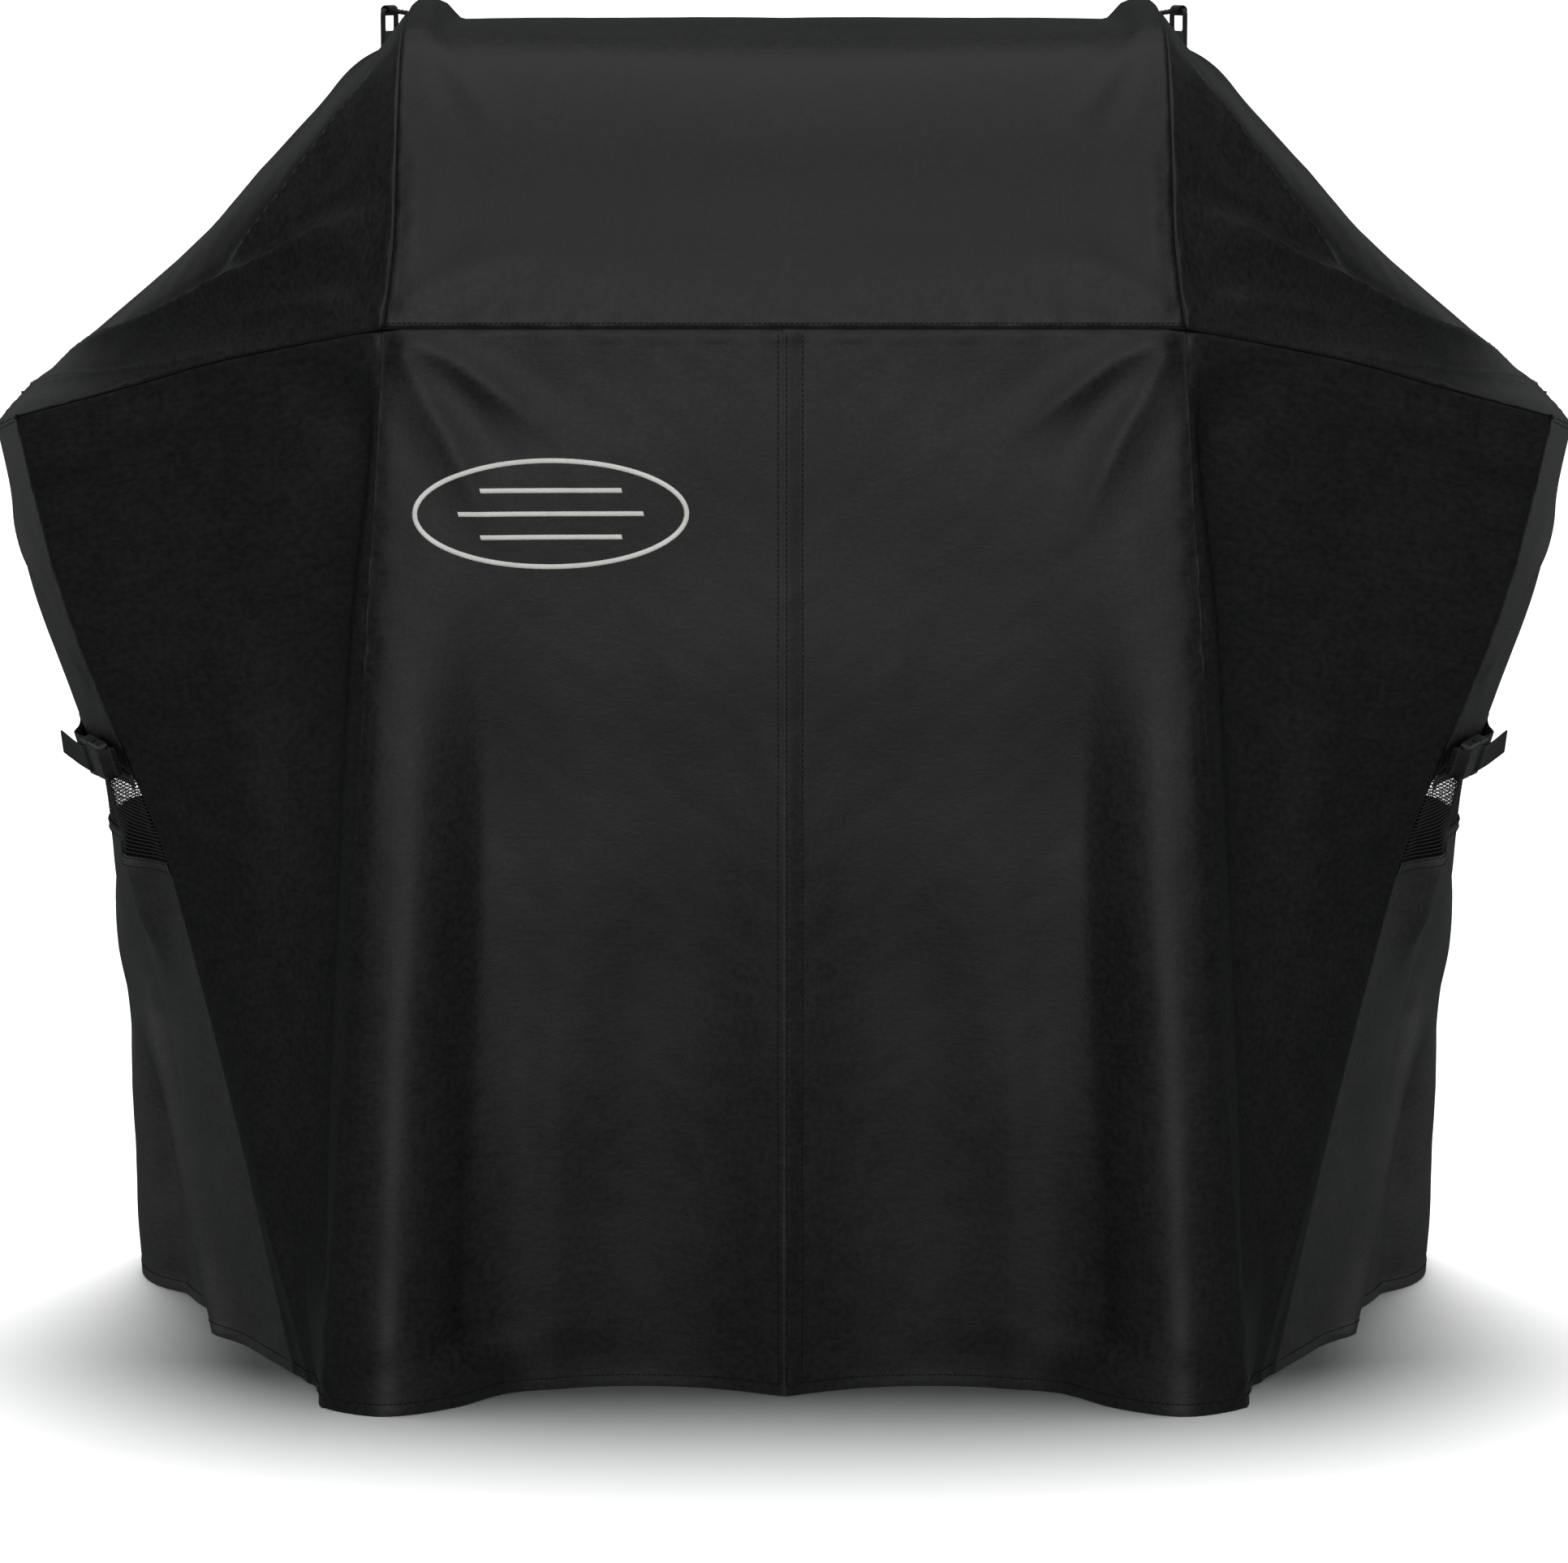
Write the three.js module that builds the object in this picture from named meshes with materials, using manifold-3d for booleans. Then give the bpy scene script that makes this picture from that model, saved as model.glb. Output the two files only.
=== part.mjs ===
// A fitted cloth cover for a free-standing gas grill with a lid and two side shelves, in the shape it takes
// when it is draped: cut panels joined by bound seams, mesh side vents, buckled side straps and two plastic
// hanging loops. Millimetres, +Z up, the front faces -Y, and the origin is on the floor under the middle.
import * as THREE from "three";
import Module from "manifold-3d";
import { mergeVertices } from "three/addons/utils/BufferGeometryUtils.js";

const wasm = await Module();
wasm.setup();

// ---- Driving dimensions ----
// Cloth and seams
const clothThickness = 1.2;
const seamGap = 2.3; // from a seam line to the cloth on each side of it
const bindingRadius = 1.2;
const bindingSides = 5;
const bindingEndGap = 6; // a binding stops this far short of a crossing seam
const hemHeight = 22;
const hemThickness = 2.2;
const layerGap = 0.8; // between pieces that lie on each other
const lapWidth = 17; // the centre seam is covered by a lapped strip

// Lid space
const lidHalfWidth = 312;
const lidTop = 1120;
const endCapRise = 16; // the lid's end castings lift the cloth in a low hump near each end
const lidFrontY = -250;
const lidBackY = 250;

// Waist seam, where the lid cloth meets the front panels
const waistHeight = 884;
const waistHalfWidth = 322;

// Side shelves
const shelfFrontHalfWidth = 637;
const shelfRearHalfWidth = 683;
const shelfHeight = 803;
const shelfDrop = 25; // the shelf seam hangs this far below the shelf along the side
const slopeSag = 16; // how far the cloth sinks between the lid and the shelf
const shelfFrontY = -130;
const shelfRearY = 240;

// Hem
const pleatCrestX = 329; // the fold that rolls forward beside each front corner
const pleatCrestY = -310;
const pleatFootX = 227;
const hemCornerX = 383;
const hemRecessY = -220; // the front hangs back this far between the centre seam and the pleat
const sideHemFrontX = 413;
const sideHemFrontY = -180;
const sideHemRearX = 580;
const sideHemRearY = 262;
const backHemY = 309;

// Straps, vents and buckles
const strapHeight = 512;
const webbingWidth = 25;
const webbingThickness = 1.6;
const strapLift = 4; // from the cloth to the strap where it lies on the side
const cinchFrontX = 553; // where the strap holds the side panel's front seam
const cinchFrontY = -110;
const cinchRearX = 575;
const sideBelly = 20; // how far the side cloth bulges between its seams
const ventBelowStrap = 18; // from the strap's middle down to the vent's top edge
const ventHeight = 74;

const socketLength = 30;
const plugLength = 20;
const prongLength = 21;
const buckleWidth = 33;
const buckleThickness = 10;
const buckleWall = 1.8;
const buckleSetback = 36; // from the front seam of the side to the middle of the buckle
const buckleLift = 11; // from the cloth to the middle of the buckle's thickness
const strapDepth = 3.4; // the strap runs this far under the middle of the buckle
const runningGap = 0.5;
const releaseTravel = 36;

// Hanging frames
const frameWidth = 32;
const frameHeight = 54;
const frameBar = 4;
const frameRung = 14;
const frameTurn = 20; // degrees, from the sideways direction towards the back
const frameX = 352;
const frameY = 274;
const frameZ = 1128;
const tabWidth = 18;
const tabThickness = 1.4;
const tabLength = 36;

// Badge
const badgeWidth = 219;
const badgeHeight = 86;
const badgeLine = 3;
const badgeX = 188;
const badgeZ = 735;
const badgeBars = 3;

// ---- Materials ----
const material = (color, roughness, metalness = 0) =>
  new THREE.MeshStandardMaterial({ color, roughness, metalness });
const cloth = material(0x1b1b1c, 0.85);
const meshCloth = material(0x111112, 0.8);
const webbing = material(0x141415, 0.8);
const plastic = material(0x1a1a1b, 0.45);
const thread = material(0xd9d7d0, 0.7);

const part = new THREE.Group();

function add(name, geometry, finish) {
  const mesh = new THREE.Mesh(geometry, finish);
  mesh.name = name;
  part.add(mesh);
}

function mirroredGeometry(geometry) {
  const copy = geometry.clone().scale(-1, 1, 1);
  const order = Array.from(copy.index.array);
  for (let k = 0; k < order.length; k += 3) [order[k + 1], order[k + 2]] = [order[k + 2], order[k + 1]];
  copy.setIndex(order);
  return copy;
}

// The cover is the same on both sides: a piece made for the right side is also mirrored to the left.
function addPair(name, geometry, finish) {
  add(`${name}_right`, geometry, finish);
  add(`${name}_left`, mirroredGeometry(geometry), finish);
}

// ---- Seam lines of the right half ----
// A seam runs straight between evenly spaced points of a smooth curve, so that panels and bindings agree.
const at = (x, y, z) => new THREE.Vector3(x, y, z);

function seam(steps, ...points) {
  const curve = new THREE.CatmullRomCurve3(points, false, "centripetal");
  const corners = curve.getSpacedPoints(steps);
  const length = curve.getLength();
  const point = (share) => {
    const k = Math.min(Math.floor(share * steps + 1e-9), steps - 1);
    return corners[k].clone().lerp(corners[k + 1], share * steps - k);
  };
  return { point, steps, length, start: corners[0], end: corners[steps] };
}

// A seam that crosses the middle, from its mirrored left end to its right end.
function acrossSeam(half) {
  const point = (share) => {
    const p = half.point(Math.abs(2 * share - 1));
    return share < 0.5 ? at(-p.x, p.y, p.z) : p;
  };
  return { point, steps: half.steps * 2, length: half.length * 2 };
}

const lidSeamTop = lidTop + endCapRise - 5;
const waistMiddle = at(0, lidFrontY, waistHeight);
const waistCorner = at(waistHalfWidth, lidFrontY, waistHeight);
const lidRearCorner = at(lidHalfWidth, lidBackY, lidSeamTop - 24);
const lidRearMiddle = at(0, lidBackY, lidTop - 24);
const shelfFrontCorner = at(shelfFrontHalfWidth, shelfFrontY, shelfHeight);
const shelfRearCorner = at(shelfRearHalfWidth, shelfRearY, shelfHeight - 13);
const backShelfMiddle = at(0, lidBackY + 14, shelfRearCorner.z);
const hemMiddle = at(0, lidFrontY, 0);
const hemCorner = at(hemCornerX, -285, 0);
const sideHemFront = at(sideHemFrontX, sideHemFrontY, 0);
const sideHemRear = at(sideHemRearX, sideHemRearY, 0);
const backHemMiddle = at(0, backHemY - 14, 0);

function lidLine(front, rear, top, x) {
  const rise = top - waistHeight;
  return seam(
    12,
    front,
    at(x + 2, lidFrontY + 12, waistHeight + 0.27 * rise),
    at(x, lidFrontY + 40, waistHeight + 0.64 * rise),
    at(x, lidFrontY + 96, top - 22),
    at(x, lidFrontY + 190, top),
    at(x, lidBackY - 110, top + 1),
    rear,
  );
}
const lidSeam = lidLine(waistCorner, lidRearCorner, lidSeamTop, lidHalfWidth);
const lidMiddle = lidLine(waistMiddle, lidRearMiddle, lidTop, 0);
const waistSeam = seam(8, waistMiddle, waistCorner);
const lidRearSeam = seam(8, lidRearMiddle, lidRearCorner);
const shelfRun = shelfFrontHalfWidth - waistHalfWidth;
const shelfFrontSeam = seam(
  8,
  waistCorner,
  at(waistHalfWidth + 0.46 * shelfRun, lidFrontY + 58, shelfHeight + 49),
  at(waistHalfWidth + 0.65 * shelfRun, lidFrontY + 82, shelfHeight + 31),
  shelfFrontCorner,
);
const shelfEdgeSeam = seam(
  6,
  shelfFrontCorner,
  at(shelfFrontHalfWidth + 30, shelfFrontY + 110, shelfHeight - 17),
  at(shelfRearHalfWidth + 4, shelfRearY - 100, shelfHeight - shelfDrop),
  shelfRearCorner,
);
const slopeMiddle = lidRearCorner.clone().lerp(shelfRearCorner, 0.5);
const slopeSeam = seam(8, lidRearCorner, slopeMiddle.add(at(0, 3, -6)), shelfRearCorner);
const frontMiddle = seam(10, waistMiddle, hemMiddle);
const cornerSeam = seam(10, waistCorner, at(352, -262, 450), hemCorner);
const frontHemLine = seam(
  12,
  hemMiddle,
  at(0.31 * pleatFootX, hemRecessY - 4, 0),
  at(0.75 * pleatFootX, hemRecessY, 0),
  at(pleatFootX, hemRecessY - 18, 0),
  at(pleatFootX + 44, pleatCrestY + 26, 0),
  at(pleatCrestX, pleatCrestY, 0),
  hemCorner,
);
const gussetHemLine = seam(8, hemCorner, at(388, -222, 0), sideHemFront);
const sideFrontCinch = at(cinchFrontX, cinchFrontY, strapHeight);
const sideRearCinch = at(cinchRearX, 246, strapHeight);
const sideFrontSeam = seam(
  10,
  shelfFrontCorner,
  shelfFrontCorner.clone().lerp(sideFrontCinch, 0.5).add(at(8, 8, -8)),
  sideFrontCinch,
  at(521, -118, 430),
  at(470, -138, 240),
  sideHemFront,
);
const sideRearSeam = seam(
  10,
  shelfRearCorner,
  shelfRearCorner.clone().lerp(sideRearCinch, 0.4),
  sideRearCinch,
  at(584, 252, 300),
  sideHemRear,
);
const onSideHem = (across, back) =>
  at(
    THREE.MathUtils.lerp(sideHemFrontX, sideHemRearX, across),
    THREE.MathUtils.lerp(sideHemFrontY, sideHemRearY, back),
    0,
  );
const sideHemLine = seam(
  8,
  sideHemFront,
  onSideHem(0.44, 0.31),
  onSideHem(0.52, 0.44),
  onSideHem(0.9, 0.66),
  onSideHem(1.02, 0.84),
  sideHemRear,
);
const backMiddle = seam(10, backShelfMiddle, backHemMiddle);
const backUpperMiddle = seam(8, lidRearMiddle, backShelfMiddle);
const backShelfSeam = seam(8, backShelfMiddle, shelfRearCorner);
const backHemLine = seam(
  8,
  backHemMiddle,
  at(0.26 * sideHemRearX, backHemY - 2, 0),
  at(0.5 * sideHemRearX, backHemY - 22, 0),
  at(0.74 * sideHemRearX, backHemY + 1, 0),
  sideHemRear,
);

// ---- Cloth surfaces ----
// A surface between four seam lines: u runs along `top` and `bottom`, v along `start` and `end`.
function surface(top, bottom, start, end, belly = () => at(0, 0, 0)) {
  return (u, v) => {
    const along = start.point(v).lerp(end.point(v), u);
    const across = top.point(u).lerp(bottom.point(u), v);
    const topChord = start.point(0).lerp(end.point(0), u);
    const bottomChord = start.point(1).lerp(end.point(1), u);
    return along.add(across).sub(topChord.lerp(bottomChord, v)).add(belly(u, v));
  };
}

// The same surface carried over the middle to the left side.
function acrossSurface(half) {
  return (u, v) => {
    const p = half(Math.abs(2 * u - 1), v);
    return u < 0.5 ? at(-p.x, p.y, p.z) : p;
  };
}

const smooth = (low, high, x) => THREE.MathUtils.smoothstep(x, low, high);

// A wavy hem loses its waves upwards faster than a straight loft would.
const fadingWaves = (hem, power) => (u, v) =>
  hem
    .point(u)
    .sub(hem.start.clone().lerp(hem.end, u))
    .multiplyScalar(v ** power - v);

const lidSurface = surface(waistSeam, lidRearSeam, lidMiddle, lidSeam, (u, v) => {
  const hump = smooth(0.8, 0.93, u) - 0.615 * u;
  return at(0, 0, endCapRise * hump * smooth(0.3, 0.6, v) * (1 - smooth(0.8, 1, v)));
});
const frontSurface = surface(waistSeam, frontHemLine, frontMiddle, cornerSeam, fadingWaves(frontHemLine, 1.5));
const gussetSurface = surface(shelfFrontSeam, gussetHemLine, cornerSeam, sideFrontSeam, (u, v) =>
  at(-8, 26, 0).multiplyScalar(Math.sin(Math.PI * u ** 0.6) ** 2 * Math.sin(Math.PI * Math.min(1, v * 1.1)) ** 0.7),
);
const slopeSurface = surface(lidSeam, shelfEdgeSeam, shelfFrontSeam, slopeSeam, (u, v) =>
  at(0, 0, -slopeSag * Math.sin(Math.PI * u) * Math.sin(Math.PI * v)),
);
const sideSurface = surface(shelfEdgeSeam, sideHemLine, sideFrontSeam, sideRearSeam, (u, v) =>
  at(sideBelly * Math.sin(Math.PI * u) * Math.sin(Math.PI * Math.min(1, 1.5 * v)), 0, 0),
);
const backUpperSurface = surface(lidRearSeam, backShelfSeam, backUpperMiddle, slopeSeam);
const backSurface = surface(backShelfSeam, backHemLine, backMiddle, sideRearSeam, fadingWaves(backHemLine, 1.5));

// ---- Building cloth ----
function closedGeometry(points, faces) {
  const six = faces.reduce((sum, [a, b, c]) => {
    return sum + points[a].dot(new THREE.Vector3().crossVectors(points[b], points[c]));
  }, 0);
  const turned = six < 0 ? faces.map(([a, b, c]) => [a, c, b]) : faces;
  const geometry = new THREE.BufferGeometry().setFromPoints(points);
  geometry.setIndex(turned.flat());
  return geometry;
}

// A grid of outer points, given in rows, closed into a sheet that is `thickness` deep towards `inside`.
function thicken(rows, thickness, inside) {
  const [lastI, lastJ] = [rows.length - 1, rows[0].length - 1];
  const normal = (i, j) => {
    const du = rows[Math.min(i + 1, lastI)][j].clone().sub(rows[Math.max(i - 1, 0)][j]);
    const dv = rows[i][Math.min(j + 1, lastJ)].clone().sub(rows[i][Math.max(j - 1, 0)]);
    return du.cross(dv).normalize();
  };
  const [mi, mj] = [Math.round(lastI / 2), Math.round(lastJ / 2)];
  const sign = Math.sign(normal(mi, mj).dot(inside.clone().sub(rows[mi][mj])));
  const outer = rows.flat();
  const inner = rows.flatMap((row, i) =>
    row.map((p, j) => {
      const shift = normal(i, j).multiplyScalar(sign * thickness);
      if (Math.abs(p.z) < 1e-6) shift.setZ(0);
      return p.clone().add(shift);
    }),
  );
  const index = (i, j) => i * (lastJ + 1) + j;
  const faces = [];
  const quad = (a, b, c, d) => faces.push([a, b, c], [a, c, d]);
  for (let i = 0; i < lastI; i++)
    for (let j = 0; j < lastJ; j++) {
      const [a, b, c, d] = [index(i, j), index(i + 1, j), index(i + 1, j + 1), index(i, j + 1)];
      quad(a, b, c, d);
      quad(...[a, d, c, b].map((k) => k + outer.length));
    }
  const rim = [];
  for (let i = 0; i < lastI; i++) rim.push(index(i, 0));
  for (let j = 0; j < lastJ; j++) rim.push(index(lastI, j));
  for (let i = lastI; i > 0; i--) rim.push(index(i, lastJ));
  for (let j = lastJ; j > 0; j--) rim.push(index(0, j));
  rim.forEach((a, k) => {
    const b = rim[(k + 1) % rim.length];
    quad(a, a + outer.length, b + outer.length, b);
  });
  return closedGeometry([...outer, ...inner], faces);
}

// The shares at which a panel is cut into facets: its two edges and the even steps between them.
function cuts(steps, low, high) {
  const between = [...Array(steps + 1).keys()].map((k) => k / steps);
  return [low, ...between.filter((s) => s > low + 0.2 / steps && s < high - 0.2 / steps), high];
}

const middleOfCover = at(0, 0, 450);

// The shares of u and v that keep a clear distance, square to the edge, at a place on a surface.
function clearShares(face, u, v, distance) {
  const [uIn, vIn] = [u, v].map((share) => Math.min(Math.max(share, 0.02), 0.98));
  const du = face(uIn + 0.01, vIn).sub(face(uIn - 0.01, vIn)).multiplyScalar(50);
  const dv = face(uIn, vIn + 0.01).sub(face(uIn, vIn - 0.01)).multiplyScalar(50);
  const area = du.clone().cross(dv).length();
  return { alongU: (distance * dv.length()) / area, alongV: (distance * du.length()) / area };
}

// A panel on a surface; `top` and `bottom` give its upper and lower edge at each u as shares of v.
function panel(face, stepsU, stepsV, { top, bottom, thickness = clothThickness, sideGap = seamGap } = {}) {
  const edges = (u) => ({
    low: top ? top(u) : clearShares(face, u, 0, seamGap).alongV,
    high: bottom ? bottom(u) : 1 - clearShares(face, u, 1, seamGap).alongV,
  });
  const rows = cuts(stepsU, 0, 1).map((u) => ({ u, ...edges(u) }));
  const lowest = Math.max(...rows.map((row) => row.low));
  const highest = Math.min(...rows.map((row) => row.high));
  const between = cuts(stepsV, lowest, highest).slice(1, -1);
  const grid = rows.map(({ u, low, high }) =>
    [low, ...between, high].map((v) => {
      const gap = clearShares(face, u, v, sideGap).alongU;
      const p = face(Math.min(Math.max(u, gap), 1 - gap), v);
      return Math.abs(p.z) < 1e-6 ? p.setZ(0) : p;
    }),
  );
  return thicken(grid, thickness, middleOfCover);
}

// The share of v at which a hanging surface passes a given height.
function shareAt(face, height) {
  return (u) => {
    let [low, high] = [0, 1];
    for (let k = 0; k < 30; k++) {
      const mid = (low + high) / 2;
      if (face(u, mid).z > height) low = mid;
      else high = mid;
    }
    return (low + high) / 2;
  };
}

// A hanging panel that ends in a doubled hem; both are pieces of their own.
function hangingPanel(addPiece, name, face, stepsU, stepsV, top) {
  const bottom = shareAt(face, hemHeight + layerGap);
  addPiece(name, panel(face, stepsU, stepsV, { top, bottom }), cloth);
  const hem = { top: shareAt(face, hemHeight), bottom: () => 1, thickness: hemThickness, sideGap: 3.5 };
  addPiece(`${name.replace("_skirt", "")}_hem`, panel(face, stepsU, 1, hem), cloth);
}

add("lid_panel", panel(acrossSurface(lidSurface), 16, 12), cloth);
add("back_upper_panel", panel(acrossSurface(backUpperSurface), 16, 8), cloth);
hangingPanel(add, "back_skirt", acrossSurface(backSurface), 16, 10);
hangingPanel(addPair, "front_skirt", frontSurface, 12, 10);
hangingPanel(addPair, "gusset_skirt", gussetSurface, 8, 10);
addPair("slope_panel", panel(slopeSurface, 12, 8), cloth);

const sideSteps = 6;
const ventTop = strapHeight - ventBelowStrap;
const ventTopShare = shareAt(sideSurface, ventTop);
const ventBottomShare = shareAt(sideSurface, ventTop - ventHeight);
const pastVent = shareAt(sideSurface, ventTop - ventHeight - layerGap);
const aboveVent = shareAt(sideSurface, ventTop + layerGap);
addPair("side_panel", panel(sideSurface, sideSteps, 10, { bottom: aboveVent }), cloth);
addPair("side_vent", panel(sideSurface, 8, 10, { top: ventTopShare, bottom: ventBottomShare }), meshCloth);
hangingPanel(addPair, "side_skirt", sideSurface, 8, 10, pastVent);

// The lapped strip over the centre seam.
function layered(face, uRange, vRange, stepsU, stepsV, lift, thickness) {
  const grid = cuts(stepsU, ...uRange).map((u) =>
    cuts(stepsV, ...vRange).map((v) => face(u, v).add(outward(face, u, v).multiplyScalar(lift + thickness))),
  );
  return thicken(grid, thickness, middleOfCover);
}

function outward(face, u, v) {
  const d = 0.01;
  const [u0, u1] = [Math.max(u - d, 0), Math.min(u + d, 1)];
  const [v0, v1] = [Math.max(v - d, 0), Math.min(v + d, 1)];
  const du = face(u1, v).sub(face(u0, v));
  const dv = face(u, v1).sub(face(u, v0));
  const normal = du.cross(dv).normalize();
  return normal.dot(face(u, v).sub(middleOfCover)) < 0 ? normal.negate() : normal;
}

const seamShare = 8 / waistHeight;
const lapShare = lapWidth / waistHalfWidth;
const hemShare = (hemHeight + 2) / waistHeight;
add(
  "front_lap",
  layered(frontSurface, [0, lapShare], [seamShare, 1 - hemShare], 1, 8, layerGap, clothThickness),
  cloth,
);

// ---- Seam bindings ----
class BindingPath extends THREE.Curve {
  constructor(line) {
    super();
    this.line = line;
    this.margin = bindingEndGap / line.length;
  }

  clipped(share) {
    return Math.min(Math.max(share, this.margin), 1 - this.margin);
  }

  getPointAt(share) {
    return this.line.point(this.clipped(share));
  }

  getTangentAt(share) {
    const here = this.clipped(share);
    const before = this.line.point(Math.max(here - 0.01, 0));
    return this.line.point(Math.min(here + 0.01, 1)).sub(before).normalize();
  }
}

function binding(line) {
  const round = new THREE.Shape(
    [...Array(bindingSides).keys()].map((k) => {
      const angle = (2 * Math.PI * k) / bindingSides;
      return new THREE.Vector2(bindingRadius * Math.cos(angle), bindingRadius * Math.sin(angle));
    }),
  );
  const path = new BindingPath(line);
  return solidOf(new THREE.ExtrudeGeometry(round, { steps: line.steps, extrudePath: path }));
}

function solidOf(geometry) {
  const bare = new THREE.BufferGeometry();
  bare.setAttribute("position", geometry.toNonIndexed ? geometry.getAttribute("position") : null);
  if (geometry.index) bare.setIndex(geometry.index);
  return mergeVertices(bare, 1e-3);
}

add("waist_binding", binding(acrossSeam(waistSeam)), cloth);
add("lid_rear_binding", binding(acrossSeam(lidRearSeam)), cloth);
add("back_shelf_binding", binding(acrossSeam(backShelfSeam)), cloth);
addPair("lid_binding", binding(lidSeam), cloth);
addPair("slope_binding", binding(slopeSeam), cloth);
addPair("shelf_front_binding", binding(shelfFrontSeam), cloth);
addPair("shelf_edge_binding", binding(shelfEdgeSeam), cloth);
addPair("corner_binding", binding(cornerSeam), cloth);
addPair("side_front_binding", binding(sideFrontSeam), cloth);
addPair("side_rear_binding", binding(sideRearSeam), cloth);

// ---- Buckles ----
function solid(geometry) {
  const merged = solidOf(geometry);
  return new wasm.Manifold(
    new wasm.Mesh({
      numProp: 3,
      vertProperties: new Float32Array(merged.getAttribute("position").array),
      triVerts: new Uint32Array(merged.index.array),
    }),
  );
}

function fromSolid(shape) {
  const mesh = shape.getMesh();
  const geometry = new THREE.BufferGeometry();
  geometry.setAttribute("position", new THREE.BufferAttribute(mesh.vertProperties, 3));
  geometry.setIndex([...mesh.triVerts]);
  return geometry;
}

const box = ([x0, x1], [y0, y1], [z0, z1]) =>
  solid(
    new THREE.BoxGeometry(x1 - x0, y1 - y0, z1 - z0).translate((x0 + x1) / 2, (y0 + y1) / 2, (z0 + z1) / 2),
  );

function roundedRectangle(width, height, radius) {
  const [w, h] = [width / 2, height / 2];
  const shape = new THREE.Shape();
  shape.absarc(w - radius, h - radius, radius, 0, Math.PI / 2);
  shape.absarc(-w + radius, h - radius, radius, Math.PI / 2, Math.PI);
  shape.absarc(-w + radius, -h + radius, radius, Math.PI, 1.5 * Math.PI);
  shape.absarc(w - radius, -h + radius, radius, 1.5 * Math.PI, 2 * Math.PI);
  return shape;
}

// The buckle's own directions: along the strap to the back, up the strap's width, and away from the cloth.
const strapShare = shareAt(sideSurface, strapHeight);
function uAtSetback(distance) {
  let [low, high] = [0, 0.6];
  const start = sideSurface(0, strapShare(0));
  for (let k = 0; k < 30; k++) {
    const mid = (low + high) / 2;
    if (sideSurface(mid, strapShare(mid)).distanceTo(start) < distance) low = mid;
    else high = mid;
  }
  return low;
}
const buckleU = uAtSetback(buckleSetback);
const away = outward(sideSurface, buckleU, strapShare(buckleU));
const backward = new THREE.Vector3(0, 0, 1).cross(away).normalize();
const upward = away.clone().cross(backward);
const buckleMiddle = sideSurface(buckleU, strapShare(buckleU)).addScaledVector(away, buckleLift);
const buckleFrame = new THREE.Matrix4().makeBasis(backward, upward, away).setPosition(buckleMiddle);
const placed = (geometry) => geometry.applyMatrix4(buckleFrame);

const mouth = 9; // the socket's open end
const socketEnd = mouth - socketLength;
const halfWidth = buckleWidth / 2;
const halfThick = buckleThickness / 2;
const prongHalf = 1.5;
const channelHalf = webbingWidth / 2 + runningGap;
const strapUnder = -strapDepth - webbingThickness / 2;
const strapOver = strapUnder + webbingThickness;

function socket() {
  const outline = roundedRectangle(socketLength, buckleWidth, 5);
  const bevel = { depth: buckleThickness - 2, bevelSize: 1, bevelThickness: 1, bevelOffset: -1, bevelSegments: 1 };
  const block = new THREE.ExtrudeGeometry(outline, { ...bevel, curveSegments: 3 });
  block.translate((mouth + socketEnd) / 2, 0, 1 - halfThick);
  const inner = [-halfWidth + 2.6, halfWidth - 2.6];
  const pocket = box([socketEnd + 7, mouth + 1], inner, [-halfThick + buckleWall, halfThick - buckleWall]);
  const strapSlot = box([socketEnd + 3, socketEnd + 5.6], inner, [-halfThick - 1, halfThick + 1]);
  const strapWay = box([socketEnd - 1, socketEnd + 5], [-channelHalf, channelHalf], [-halfThick - 1, -1.6]);
  const windows = box([-5, 4], [-halfWidth - 1, halfWidth + 1], [-2.6, 2.6]);
  return solid(block).subtract(pocket).subtract(strapSlot).subtract(strapWay).subtract(windows);
}

function plug() {
  const near = mouth + runningGap;
  const far = near + plugLength;
  const outline = roundedRectangle(plugLength, buckleWidth, 3);
  const depth = halfThick + 6 - 2;
  const bevel = { depth, bevelSize: 1, bevelThickness: 1, bevelOffset: -1, bevelSegments: 1 };
  const block = new THREE.ExtrudeGeometry(outline, { ...bevel, curveSegments: 3 });
  block.translate((near + far) / 2, 0, 1 - 6);
  const tunnel = box([near - 1, far + 1], [-channelHalf, channelHalf], [strapUnder - 0.5, strapOver + 0.5]);
  const slots = [near + 4, near + 11].map((s) => box([s, s + 4], [-13, 13], [strapOver - 1, halfThick + 1]));
  const tip = near - prongLength;
  const prongs = [-1, 1].map((side) =>
    box([tip, near + 1.5], side > 0 ? [8.5, 12.4] : [-12.4, -8.5], [-prongHalf, prongHalf]),
  );
  const guide = box([tip + 6, near + 1.5], [-2.5, 2.5], [-prongHalf, prongHalf]);
  const hollow = slots.reduce((left, cut) => left.subtract(cut), solid(block).subtract(tunnel));
  return [...prongs, guide].reduce((whole, piece) => whole.add(piece), hollow);
}

addPair("buckle_socket", placed(fromSolid(socket())), plastic);
addPair("buckle_plug", placed(fromSolid(plug())), plastic);

// ---- Straps ----
// Each strap lies on the side cloth and lifts off it to run straight through its half of the buckle.
function onCloth(u) {
  const middle = strapShare(u);
  const half = webbingWidth / 2 / sideSurface(u, 0).distanceTo(sideSurface(u, 1));
  return [half, -half].map((share) => {
    const v = middle + share;
    return sideSurface(u, v).addScaledVector(outward(sideSurface, u, v), strapLift + webbingThickness);
  });
}
const inBuckle = (s) =>
  [-1, 1].map((side) => at(s, (side * webbingWidth) / 2, strapOver).applyMatrix4(buckleFrame));
const strap = (rows) => thicken(rows, webbingThickness, middleOfCover);
const straightEnd = mouth + releaseTravel + plugLength + 4;
const rejoinU = uAtSetback(buckleSetback + straightEnd + 30);

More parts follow.
